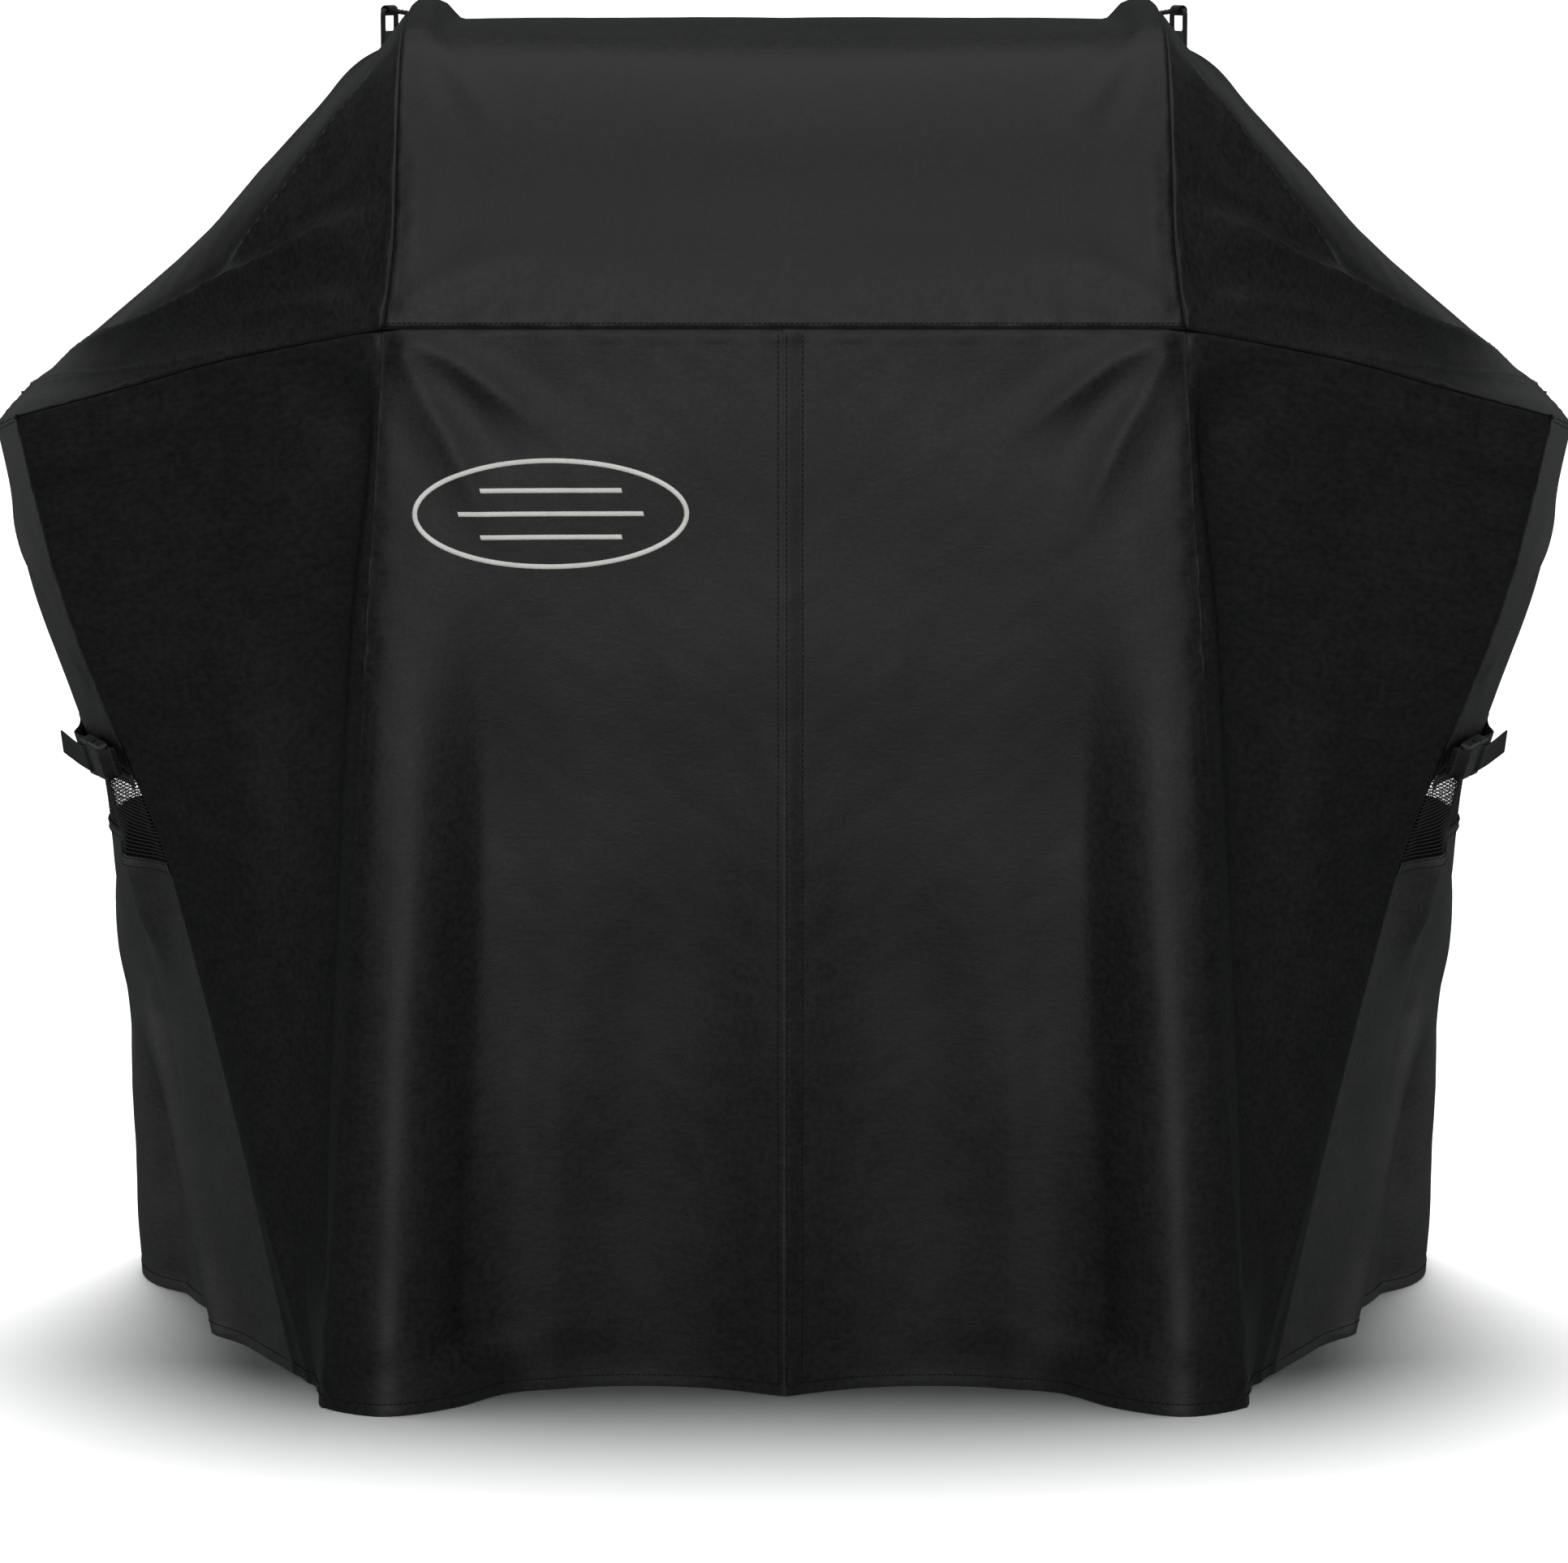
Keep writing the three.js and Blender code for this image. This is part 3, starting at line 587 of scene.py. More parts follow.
        def stack(x: Grid | float, y: Grid | float, z: Grid | float) -> Grid:
            """Offsets along the three axes."""
            return np.stack(np.broadcast_arrays(x, y, z), axis=-1).astype(float)

        def fading(hem: Seam) -> Surface:
            """Hem waves that die away upwards."""

            def belly(u: Grid, v: Grid) -> Grid:
                """The offset at u and v."""
                chord = hem.at(0.0) * (1 - u[..., None]) + hem.at(1.0) * u[..., None]
                return (hem.at(u) - chord) * (v**1.5 - v)[..., None]

            return belly

        def caps(u: Grid, v: Grid) -> Grid:
            """The low humps over the lid's end castings."""
            hump = smooth(0.885, 0.945, u) - 0.69 * u
            return stack(flat, flat, self.cap_rise * hump * smooth(0.3, 0.6, v) * (1 - smooth(0.8, 1.0, v)))

        def gusset_valley(u: Grid, v: Grid) -> Grid:
            """The gusset falls inwards behind the front corner."""
            depth = np.sin(pi * u**0.6) ** 2 * np.sin(pi * np.minimum(1.0, v * 1.1)) ** 0.7
            return stack(-0.008 * depth, 0.026 * depth, flat)

        def sag(u: Grid, v: Grid) -> Grid:
            """The slope sinks between the lid and the shelf."""
            return stack(flat, flat, -self.slope_sag * np.sin(pi * u) * np.sin(pi * v))

        def side(u: Grid, v: Grid) -> Grid:
            """The side bulges between its seams."""
            out = self.side_belly * np.sin(pi * u) * np.sin(pi * np.minimum(1.0, 1.5 * v))
            return stack(out, flat, flat)

        self.lid = between(self.waist_line, self.lid_rear, self.lid_middle, self.lid_side, caps)
        self.front = between(self.waist_line, self.front_hem, self.front_middle, self.corner, fading(self.front_hem))
        self.gusset = between(self.shelf_front_line, self.gusset_hem, self.corner, self.side_front, gusset_valley)
        self.slope = between(self.lid_side, self.shelf_edge, self.shelf_front_line, self.slope_line, sag)
        self.side = between(self.shelf_edge, self.side_hem, self.side_front, self.side_rear, side)
        self.back_upper = between(self.lid_rear, self.back_shelf, self.back_upper_middle, self.slope_line)
        waves = fading(self.back_hem_line)
        self.back = between(self.back_shelf, self.back_hem_line, self.back_middle, self.side_rear, waves)


# ---------------------------------------------------------------- mesh tools
def along_edge(edge: str, t: Grid) -> tuple[Grid, Grid]:
    """The shares of u and v at t along a panel's edge: t(op), b(ottom), s(tart) or e(nd)."""
    return {"t": (t, 0 * t), "b": (t, 0 * t + 1), "s": (0 * t, t), "e": (0 * t + 1, t)}[edge]


class Soup:
    """Gathers points and faces of one piece and turns them into an object."""

    def __init__(self) -> None:
        """Starts empty."""
        self.points: list[Grid] = []
        self.measure: list[Grid] = []
        self.faces: list[tuple[int, ...]] = []
        self.count = 0

    def add(self, points: Grid, faces: Iterable[Sequence[int]], measure: Grid | None = None) -> None:
        """Adds points and faces.

        Args:
            points: Points of shape (n, 3).
            faces: Faces that index the points.
            measure: The cloth's own measure at each point, in metres.
        """
        self.points.append(points)
        self.measure.append(np.zeros_like(points) if measure is None else measure)
        base = self.count
        self.faces.extend(tuple(int(k) + base for k in f) for f in faces)
        self.count += len(points)

    def tube(self, path: Grid, radius: float | Grid, sides: int) -> None:
        """Adds a round tube along a path.

        Args:
            path: Points of shape (n, 3).
            radius: One radius, or one for each point.
            sides: Facets round the tube.
        """
        n = len(path)
        tangent = unit(np.gradient(path, axis=0))
        side = np.cross(tangent[0], OFF_AXIS)
        frames = []
        for t in tangent:
            side = side - t * float(np.dot(side, t))
            side = side / max(float(np.linalg.norm(side)), 1e-9)
            frames.append((side, np.cross(t, side)))
        angle = np.arange(sides) * 2 * math.pi / sides
        a = np.array([f[0] for f in frames])[:, None, :] * np.cos(angle)[None, :, None]
        b = np.array([f[1] for f in frames])[:, None, :] * np.sin(angle)[None, :, None]
        r = np.broadcast_to(np.asarray(radius, float), (n,))[:, None, None]
        ring = path[:, None, :] + (a + b) * r
        measure = np.zeros((n, sides, 3))
        measure[..., 0] = travel_along(path)[:, None]
        measure[..., 1] = angle[None, :] * float(np.mean(r))
        self.add(ring.reshape(-1, 3), self._walls(n, sides), measure.reshape(-1, 3))

    @staticmethod
    def _walls(rings: int, sides: int) -> list[tuple[int, ...]]:
        """Faces between rings of points in a row, with a cap at each end."""
        faces = [
            (i * sides + k, i * sides + (k + 1) % sides, (i + 1) * sides + (k + 1) % sides, (i + 1) * sides + k)
            for i in range(rings - 1)
            for k in range(sides)
        ]
        return faces + [tuple(range(sides))[::-1], tuple((rings - 1) * sides + k for k in range(sides))]

    def slab(self, outer: Grid, inner: Grid, measure: Grid) -> None:
        """Adds a closed sheet between two grids of points.

        Args:
            outer: Outer points of shape (rows, columns, 3).
            inner: Inner points of the same shape.
            measure: The cloth's own measure, of the same shape.
        """
        rows, cols = outer.shape[:2]
        index = np.arange(rows * cols).reshape(rows, cols)
        a, b, c, d = (index[:-1, :-1], index[1:, :-1], index[1:, 1:], index[:-1, 1:])
        quads = np.stack([a, b, c, d], -1).reshape(-1, 4)
        back = quads[:, ::-1] + rows * cols
        rim = np.concatenate([index[:-1, 0], index[-1, :-1], index[:0:-1, -1], index[0, :0:-1]])
        following = np.roll(rim, -1)
        wall = np.stack([following, rim, rim + rows * cols, following + rows * cols], -1)
        points = np.concatenate([outer.reshape(-1, 3), inner.reshape(-1, 3)])
        flat = measure.reshape(-1, 3)
        self.add(points, np.concatenate([quads, back, wall]), np.concatenate([flat, flat]))

    def stitches(self, points: Grid, normals: Grid, length: float = 0.0032) -> None:
        """Adds a row of stitches along a line.

        Args:
            points: Points of the line, of shape (n, 3).
            normals: Directions away from the cloth there.
            length: Length of a stitch in metres.
        """
        travel = travel_along(points)
        arch = THREAD_RADIUS * np.array([-0.8, 0.25, 0.6, 0.25, -0.8])
        radius = THREAD_RADIUS * np.array([0.55, 1.0, 1.0, 1.0, 0.55])
        for start in np.arange(0.0, travel[-1] - length, STITCH_PITCH * length):
            s = start + length * np.array([0.0, 0.12, 0.5, 0.88, 1.0])
            self.tube(read_at(s, travel, points) + read_at(s, travel, normals) * arch[:, None], radius, 5)

    def ribbon(self, centres: Grid, across: Grid, normals: Grid, width: float, thickness: float) -> None:
        """Adds a flat band of webbing with rounded edges.

        Args:
            centres: Middle points along it, of shape (n, 3).
            across: Directions over its width.
            normals: Directions through its thickness.
            width: Its width.
            thickness: Its thickness.
        """
        w, t = width / 2, thickness / 2
        e = 0.6 * t
        side = [(-w, 0.0), (-w + e, t), (-w / 2, t), (0.0, t), (w / 2, t), (w - e, t)]
        section = np.array(side + [(-x, -y) for x, y in side])
        shape = (len(centres), len(section), 3)
        points = centres[:, None] + across[:, None] * section[None, :, :1] + normals[:, None] * section[None, :, 1:]
        measure = np.zeros(shape)
        measure[..., 0] = travel_along(centres)[:, None]
        measure[..., 1] = section[None, :, 0]
        faces = self._walls(*shape[:2])
        turned = np.cross(across[0], normals[0])
        if float(np.dot(turned, centres[1] - centres[0])) < 0:
            faces = [f[::-1] for f in faces]
        self.add(points.reshape(-1, 3), faces, measure.reshape(-1, 3))

    def mirrored(self) -> "Soup":
        """The same piece on the other side."""
        other = Soup()
        points, measure = np.concatenate(self.points), np.concatenate(self.measure)
        other.add(points * MIRROR, [f[::-1] for f in self.faces], measure)
        return other

    def piece(self, name: str, finish: Finish, nodes: Sequence[str] = (), body: str = "cover") -> bpy.types.Object:
        """Makes the object, dresses it and hangs it on its body.

        Args:
            name: The object's name.
            finish: What it is made of.
            nodes: CAD nodes that it stands for.
            body: The body it moves with.

        Returns:
            The new object.
        """
        mesh = bpy.data.meshes.new(name)
        points = np.concatenate(self.points)
        sizes = np.array([len(f) for f in self.faces])
        corners = np.concatenate([np.asarray(f) for f in self.faces])
        mesh.vertices.add(len(points))
        mesh.vertices.foreach_set("co", points.astype(np.float32).ravel())
        mesh.loops.add(len(corners))
        mesh.loops.foreach_set("vertex_index", corners.astype(np.int32))
        mesh.polygons.add(len(sizes))
        mesh.polygons.foreach_set("loop_start", np.concatenate([[0], np.cumsum(sizes)[:-1]]).astype(np.int32))
        mesh.update(calc_edges=True)
        mesh.validate()
        mesh.polygons.foreach_set("use_smooth", np.ones(len(mesh.polygons), bool))
        mesh.set_sharp_from_angle(angle=SHARP_ANGLE)
        measure = mesh.attributes.new("cloth", "FLOAT_VECTOR", "POINT")
        measure.data.foreach_set("vector", np.concatenate(self.measure).astype(np.float32).ravel())
        mesh.materials.append(finish.material())
        thing = bpy.data.objects.new(name, mesh)
        bpy.context.scene.collection.objects.link(thing)
        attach(thing, body)
        if nodes:
            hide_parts(*nodes)
        log.info("%s: %d faces", name, len(mesh.polygons))
        return thing


def both(soup: Soup, name: str, finish: Finish, nodes: Sequence[str] = ()) -> None:
    """Makes a right-hand piece and its mirrored left-hand twin; node names are given without their side."""
    for side, thing in (("right", soup), ("left", soup.mirrored())):
        thing.piece(f"{name}_{side}", finish, [f"{node}_{side}" for node in nodes])


# ---------------------------------------------------------------- folds and cloth
def normals_of(face: Surface, u: Grid, v: Grid) -> Grid:
    """Outward normals of a surface, away from the middle of the covered space."""
    d = 0.004
    uc, vc = np.clip(u, d, 1 - d), np.clip(v, d, 1 - d)
    n = unit(np.cross(face(uc + d, vc) - face(uc - d, vc), face(uc, vc + d) - face(uc, vc - d)))
    a, b = np.array([0.45]), np.array([0.5])
    middle = face(a, b)[0]
    sample = np.cross(face(a + d, b)[0] - middle, face(a, b + d)[0] - middle)
    return n if float(np.dot(sample, middle - (0.0, 0.0, 0.45))) > 0 else -n


SPINE_SAMPLES = 80
FOLD_REACH = 6.0  # how far a fold is felt, in widths
TROUGH_DEPTH = 0.2  # of the low ground on both sides of a fold, in heights
TROUGH_AT = 2.4  # in widths
TROUGH_WIDTH = 1.1


@dataclass(frozen=True)
class Fold:
    """A fold that runs over a panel: a ridge if its height is positive, a valley if negative."""

    path: tuple[tuple[float, float], ...]
    height: float
    width: float
    skew: float = 0.0
    fade: tuple[float, float] = (0.2, 0.2)
    peak: float = 1.5

    def lift(self, points: Grid, normals: Grid, face: Surface) -> Grid:
        """How far the fold lifts each point.

        Args:
            points: Points of shape (n, 3).
            normals: Outward normals there.
            face: The surface that the fold's path is measured on.

        Returns:
            The lifts, of shape (n,).
        """
        stops = np.array(self.path)
        line = Seam(*face(stops[:, 0], stops[:, 1]))
        t = np.linspace(0.0, 1.0, SPINE_SAMPLES)
        spine = line.at(t)
        reach = FOLD_REACH * self.width
        box = np.all((points > spine.min(0) - reach) & (points < spine.max(0) + reach), axis=1)
        lifts = np.zeros(len(points))
        if not box.any():
            return lifts
        gap = points[box, None, :] - spine[None, :, :]
        distance2 = np.einsum("nkc,nkc->nk", gap, gap)
        near = np.argmin(distance2, axis=1)
        rows = np.arange(len(near))
        steps = np.gradient(spine, axis=0)
        stride = np.linalg.norm(steps, axis=1)[near]
        tangent = unit(steps)[near]
        along = np.clip(np.einsum("nc,nc->n", gap[rows, near], tangent), -0.6 * stride, 0.6 * stride)
        distance = np.sqrt(np.maximum(distance2[rows, near] - along**2, 0.0))
        side = np.sign(np.einsum("nc,nc->n", gap[rows, near], np.cross(normals[box], tangent)))
        width = self.width * (1.0 + self.skew * side)
        share = np.clip(t[near] + along / (stride * len(t)), 0.0, 1.0)
        ends = np.ones_like(share)
        if self.fade[0] > 0:
            ends = ends * smooth(0.0, self.fade[0], share)
        if self.fade[1] > 0:
            ends = ends * (1.0 - smooth(1.0 - self.fade[1], 1.0, share))
        crest = np.exp(-((distance / width) ** self.peak))
        trough = TROUGH_DEPTH * np.exp(-(((distance - TROUGH_AT * width) / (TROUGH_WIDTH * width)) ** 2))
        lifts[box] = self.height * ends * (crest - trough)
        return lifts


RIPPLE_WAVES = 9
WANDER_WAVE, CRUMPLE_WAVE, PUCKER_WAVE = 0.15, 0.030, 0.020  # wavelengths of the cloth's unevenness
FLOOR_CALM = 0.10  # the height under which the cloth keeps to its hem line
EDGE_CUTS = (0.0009, 0.0018, 0.0030)  # extra cuts beside a panel's edges


def ripple(points: Grid, wavelength: float, seed: int) -> Grid:
    """A smooth random height between about -1 and 1.

    Args:
        points: Points of shape (..., 3).
        wavelength: Typical distance between crests, in metres.
        seed: Which pattern.

    Returns:
        Heights, one for each point.
    """
    rng = np.random.default_rng(seed)
    total = np.zeros(points.shape[:-1])
    for _ in range(RIPPLE_WAVES):
        direction = unit(rng.normal(size=3)) / (wavelength * rng.uniform(0.7, 1.5))
        total += np.sin(2 * math.pi * (points @ direction) + rng.uniform(0, 2 * math.pi))
    return total / 4.0


def flip_back(points: Grid) -> Grid:
    """Factors that mirror left-hand points to the right and back."""
    return np.where(points[..., :1] < 0, -1.0, 1.0) ** np.array([1.0, 0.0, 0.0])


@dataclass
class Cloth:
    """One stretch of cloth: a base surface with its folds, puckers and rolled-in seam edges."""

    half: Surface
    folds: tuple[Fold, ...] = ()
    seams: str = "tbse"
    seed: int = 1
    wander: float = 0.0013
    crumple: float = 0.00015
    pucker: float = 0.0010
    whole: bool = False
    dip: float = 0.0020
    groove: float = 0.0018
    face: Surface | None = None
    mates: dict[str, tuple[Surface, str]] = field(default_factory=dict)
    rounded: dict[str, float] = field(default_factory=dict)
    spans: tuple[float, float] = field(init=False)

    def __post_init__(self) -> None:
        """Picks the surface and measures it along its middle lines."""
        if self.face is None:
            self.face = over_middle(self.half) if self.whole else self.half
        t = np.linspace(0.0, 1.0, 60)
        middle = np.full_like(t, 0.5)
        self.spans = tuple(
            float(np.sum(np.linalg.norm(np.diff(p, axis=0), axis=1)))
            for p in (self.face(t, middle), self.face(middle, t))
        )

    def edge_distances(self, u: Grid, v: Grid) -> dict[str, Grid]:
        """Distances in metres from the four edges: top, bottom, start and end."""
        one, none = np.ones_like(u), np.zeros_like(u)
        wide = np.linalg.norm(self.face(one, v) - self.face(none, v), axis=-1)
        tall = np.linalg.norm(self.face(u, one) - self.face(u, none), axis=-1)
        return {"t": v * tall, "b": (1 - v) * tall, "s": u * wide, "e": (1 - u) * wide}

    def shape(self, u: Grid, v: Grid) -> tuple[Grid, Grid]:
        """The draped surface.

        Args:
            u: Shares along the first way.
            v: Shares along the second way, of the same shape.

        Returns:
            Points and outward normals.
        """
        points, normals = self.face(u, v), normals_of(self.face, u, v)
        away = self.edge_distances(u, v)
        edge = np.minimum.reduce([away[k] for k in self.seams])
        flip = flip_back(points)
        flat, flat_normals = (points * flip).reshape(-1, 3), (normals * flip).reshape(-1, 3)
        lift = sum((f.lift(flat, flat_normals, self.half) for f in self.folds), np.zeros(len(flat)))
        lift = lift.reshape(u.shape) * smooth(-0.004, 0.018, edge)
        here = points * flip
        lift += self.wander * ripple(here, WANDER_WAVE, self.seed) * smooth(0.0, 0.05, edge)
        lift += self.crumple * ripple(here, CRUMPLE_WAVE, self.seed + 40) * smooth(0.0, 0.02, edge)
        sunk = np.zeros_like(points)
        for k in self.seams:
            near = np.exp(-((away[k] / 0.012) ** 2)) * (1.0 - np.exp(-((away[k] / 0.0035) ** 2)))
            lift += self.pucker * near * ripple(here, PUCKER_WAVE, self.seed + 7)
            if k in self.rounded:
                depth = self.rounded[k] * np.exp(-((away[k] / (2.6 * self.rounded[k])) ** 1.5))
            else:
                depth = self.dip * self._sewn_tight(points) * np.exp(-((away[k] / self.groove) ** 2))
            sunk -= depth[..., None] * self._inward(k, u, v, normals) * flip
        ground = smooth(0.0, FLOOR_CALM, points[..., 2])
        level = np.stack([np.ones_like(lift), np.ones_like(lift), ground], -1)
        shaped = points + (normals * lift[..., None] + sunk) * level
        shaped[..., 2] = np.maximum(shaped[..., 2], 0.0)
        return shaped, normals

    def _sewn_tight(self, points: Grid) -> Grid:
        """How strongly a seam draws in the cloth: hanging skirts are slack below the vents."""
        return 0.25 + 0.75 * smooth(0.36, 0.46, points[..., 2])

    def _inward(self, edge: str, u: Grid, v: Grid, normals: Grid) -> Grid:
        """The common normal of this panel and its mate along an edge, on the right half."""
        if edge not in self.mates:
            return normals * flip_back(self.face(u, v))
        share = np.abs(2 * u - 1) if self.whole else u
        t = share if edge in "tb" else v
        own = "e" if self.whole and edge == "s" else edge
        mate, other = self.mates[edge]
        return unit(normals_of(self.half, *along_edge(own, t)) + normals_of(mate, *along_edge(other, t)))

    @staticmethod
    def shares(span: float, spacing: float, low: float = 0.0, high: float = 1.0) -> Grid:
        """Even cuts of a panel with extra ones beside its edges.

        Args:
            span: Its whole length in metres.
            spacing: Distance between cuts in metres.
            low: Where the cuts start, as a share.
            high: Where they end.

        Returns:
            The shares from low to high.
        """
        steps = max(2, round(span * (high - low) / spacing))
        even = np.linspace(low, high, steps + 1)
        close = np.array(EDGE_CUTS) / span
        close = close[close < (high - low) / steps]
        return np.unique(np.concatenate([even, low + close, high - close]))

    def sheet(
        self,
        spacing: float = 0.006,
        low: Callable[[Grid], Grid] | None = None,
        high: Callable[[Grid], Grid] | None = None,
        lift: float | Callable[[Grid], Grid] = 0.0,
        thickness: float = 0.0011,
        part: tuple[float, float] = (0.0, 1.0),
    ) -> "Sheet":
        """Cuts a closed sheet out of the cloth.

        Args:
            spacing: Size of its facets in metres.
            low: Its upper edge, as shares of v at shares of u.
            high: Its lower edge, likewise.
            lift: How far it lies outside the cloth surface, or that at its points.
            thickness: How thick it is, inwards.
            part: The shares of u between which it lies.

        Returns:
            The sheet.
        """
        us = self.shares(self.spans[0], spacing, *part)
        lows = low(us) if low else np.zeros_like(us)
        highs = high(us) if high else np.ones_like(us)
        ts = self.shares(self.spans[1] * float(np.mean(highs - lows)), spacing)
        u = np.repeat(us[:, None], len(ts), 1)
        v = lows[:, None] + (highs - lows)[:, None] * ts[None, :]
        points, normals = self.shape(u, v)
        raised = lift(points) if callable(lift) else np.full(u.shape, lift)
        on_floor = points[..., 2] < 1e-6
        outer = points + normals * raised[..., None]
        inner = outer - normals * thickness
        outer[on_floor, 2] = inner[on_floor, 2] = 0.0
        measure = np.stack([u * self.spans[0], v * self.spans[1], np.zeros_like(u)], -1)
        i, j = len(us) // 2, len(ts) // 2
        if float(np.dot(np.cross(outer[i + 1, j] - outer[i, j], outer[i, j + 1] - outer[i, j]), normals[i, j])) < 0:
            outer, inner, measure = outer[::-1], inner[::-1], measure[::-1]
        made = Sheet()
        made.slab(outer, inner, measure)
        made.measure_flat(outer)
        return made

    def at_height(self, height: float) -> Callable[[Grid], Grid]:
        """Where the hanging cloth passes a height, as shares of v at shares of u."""

        def shares(u: Grid) -> Grid:
            """Bisects v at each u."""
            low, high = np.zeros_like(u), np.ones_like(u)
            for _ in range(30):
                middle = (low + high) / 2
                above = self.face(u, middle)[..., 2] > height
                low, high = np.where(above, middle, low), np.where(above, high, middle)
            return (low + high) / 2

        return shares

    def sew(self, soup: Soup, u: Grid, v: Grid, lift: float = 0.0) -> None:
        """Sews a row of stitches along a line on the cloth.

        Args:
            soup: Receives the stitches.
            u: Shares along the line.
            v: Shares along the line, of the same shape.
            lift: How far the row lies outside the cloth surface.
        """
        points, normals = self.shape(u, v)
        soup.stitches(points + normals * lift, normals)

    def sew_at_height(self, soup: Soup, height: float, lift: float = 0.0) -> None:
        """Sews a level row of stitches."""
        u = np.linspace(0.01, 0.99, 160)
        self.sew(soup, u, self.at_height(height)(u), lift)


class Sheet(Soup):
    """A closed sheet of cloth that knows the size it was cut to."""

    flat: tuple[float, float] = (0.0, 0.0)
    area: float = 0.0

    def measure_flat(self, outer: Grid) -> None:
        """Measures the flat cut from its outer points, of shape (rows, columns, 3)."""
        rows = np.linalg.norm(np.diff(outer, axis=0), axis=-1).sum(0).max()
        cols = np.linalg.norm(np.diff(outer, axis=1), axis=-1).sum(1).max()
        a, b = outer[1:, :-1] - outer[:-1, :-1], outer[:-1, 1:] - outer[:-1, :-1]
        c, d = outer[1:, :-1] - outer[1:, 1:], outer[:-1, 1:] - outer[1:, 1:]
        halves = np.linalg.norm(np.cross(a, b), axis=-1) + np.linalg.norm(np.cross(c, d), axis=-1)
        self.flat = (float(rows), float(cols))
        self.area = min(float(halves.sum() / 2), self.flat[0] * self.flat[1])

    def mirrored(self) -> "Sheet":
        """The same sheet on the other side."""
        plain = super().mirrored()
        other = Sheet()
        other.points, other.measure, other.faces, other.count = plain.points, plain.measure, plain.faces, plain.count
        other.flat, other.area = self.flat, self.area
        return other

    def piece(self, name: str, finish: Finish, nodes: Sequence[str] = (), body: str = "cover") -> bpy.types.Object:
        thing = super().piece(name, finish, nodes, body)
        log.info("%s: cut %.3f x %.3f m, %.4f square metres", name, *self.flat, self.area)
        return thing


# ---------------------------------------------------------------- sub-assemblies
class Cloths:
    """The cut panels as the seams hold them, each with the folds it hangs in."""

    def __init__(self, form: CoverForm) -> None:
        """Lays the folds on the panels of the right half."""
        self.form = f = form
        self.lid = Cloth(f.lid, LID_FOLDS, seed=3, whole=True, mates={
            "t": (f.front, "t"), "b": (f.back_upper, "t"), "s": (f.slope, "t"), "e": (f.slope, "t"),
        })
        self.front = Cloth(
            f.front, FRONT_FOLDS, "te", 11, mates={"t": (f.lid, "t"), "e": (f.gusset, "s")}, rounded={"e": 0.0032}
        )
        self.gusset = Cloth(
            f.gusset, GUSSET_FOLDS, "tse", 17,
            mates={"t": (f.slope, "s"), "s": (f.front, "e"), "e": (f.side, "s")}, rounded={"s": 0.0032},
        )
        self.slope = Cloth(f.slope, SLOPE_FOLDS, seed=23, mates={
            "t": (f.lid, "e"), "b": (f.side, "t"), "s": (f.gusset, "t"), "e": (f.back_upper, "e"),
        })
        self.side = Cloth(f.side, SIDE_FOLDS, "tse", 29, mates={
            "t": (f.slope, "b"), "s": (f.gusset, "e"), "e": (f.back, "e"),
        })
        self.back_upper = Cloth(f.back_upper, (), seed=31, whole=True, mates={
            "t": (f.lid, "b"), "b": (f.back, "t"), "s": (f.slope, "e"), "e": (f.slope, "e"),
        })
        self.back = Cloth(f.back, BACK_FOLDS, "tse", 37, whole=True, mates={
            "t": (f.back_upper, "b"), "s": (f.side, "e"), "e": (f.side, "e"),
        })


LID_FOLDS = (
    Fold(((0.99, 0.47), (0.86, 0.33), (0.70, 0.22)), 0.0030, 0.010, fade=(0.12, 0.45), peak=1.3),
    Fold(((0.99, 0.40), (0.90, 0.27), (0.84, 0.16)), 0.0022, 0.008, fade=(0.15, 0.4), peak=1.3),
    Fold(((0.955, 0.03), (0.95, 0.16), (0.955, 0.34)), 0.0020, 0.012, fade=(0.3, 0.3)),
    Fold(((0.99, 0.02), (0.80, 0.075), (0.55, 0.10)), 0.0016, 0.012, fade=(0.1, 0.5)),
)
FRONT_FOLDS = (
    Fold(((0.97, 0.0), (0.80, 0.035), (0.52, 0.11)), 0.0050, 0.012, fade=(0.05, 0.5), peak=1.3),
    Fold(((0.98, 0.01), (0.84, 0.09), (0.66, 0.22)), 0.0040, 0.012, fade=(0.1, 0.5), peak=1.3),
    Fold(((0.76, 0.22), (0.70, 0.40), (0.68, 0.60), (0.655, 0.97)), -0.016, 0.038, fade=(0.35, 0.05), peak=1.7),
    Fold(((0.52, 0.45), (0.50, 0.70), (0.47, 1.0)), 0.004, 0.030, fade=(0.5, 0.0)),
    Fold(((0.30, 0.10), (0.26, 0.35), (0.28, 0.55)), 0.0012, 0.03, fade=(0.4, 0.5)),
)
GUSSET_FOLDS = (
    Fold(((0.97, 0.07), (0.78, 0.05), (0.40, 0.035)), 0.004, 0.012, fade=(0.15, 0.4), peak=1.3),
    Fold(((0.05, 0.02), (0.07, 0.11), (0.17, 0.36), (0.24, 0.68), (0.20, 0.95)), -0.016, 0.024, 0.4, (0.08, 0.15), 1.4),
    Fold(((0.60, 0.10), (0.55, 0.35), (0.62, 0.60)), 0.003, 0.030, fade=(0.4, 0.4)),
    Fold(((0.96, 0.44), (0.75, 0.46), (0.50, 0.52)), 0.0025, 0.012, fade=(0.1, 0.5)),
    Fold(((0.93, 0.80), (0.80, 0.92), (0.72, 1.0)), 0.004, 0.010, fade=(0.4, 0.0)),
    Fold(((0.60, 0.84), (0.52, 0.94), (0.48, 1.0)), 0.003, 0.010, fade=(0.4, 0.0)),
)
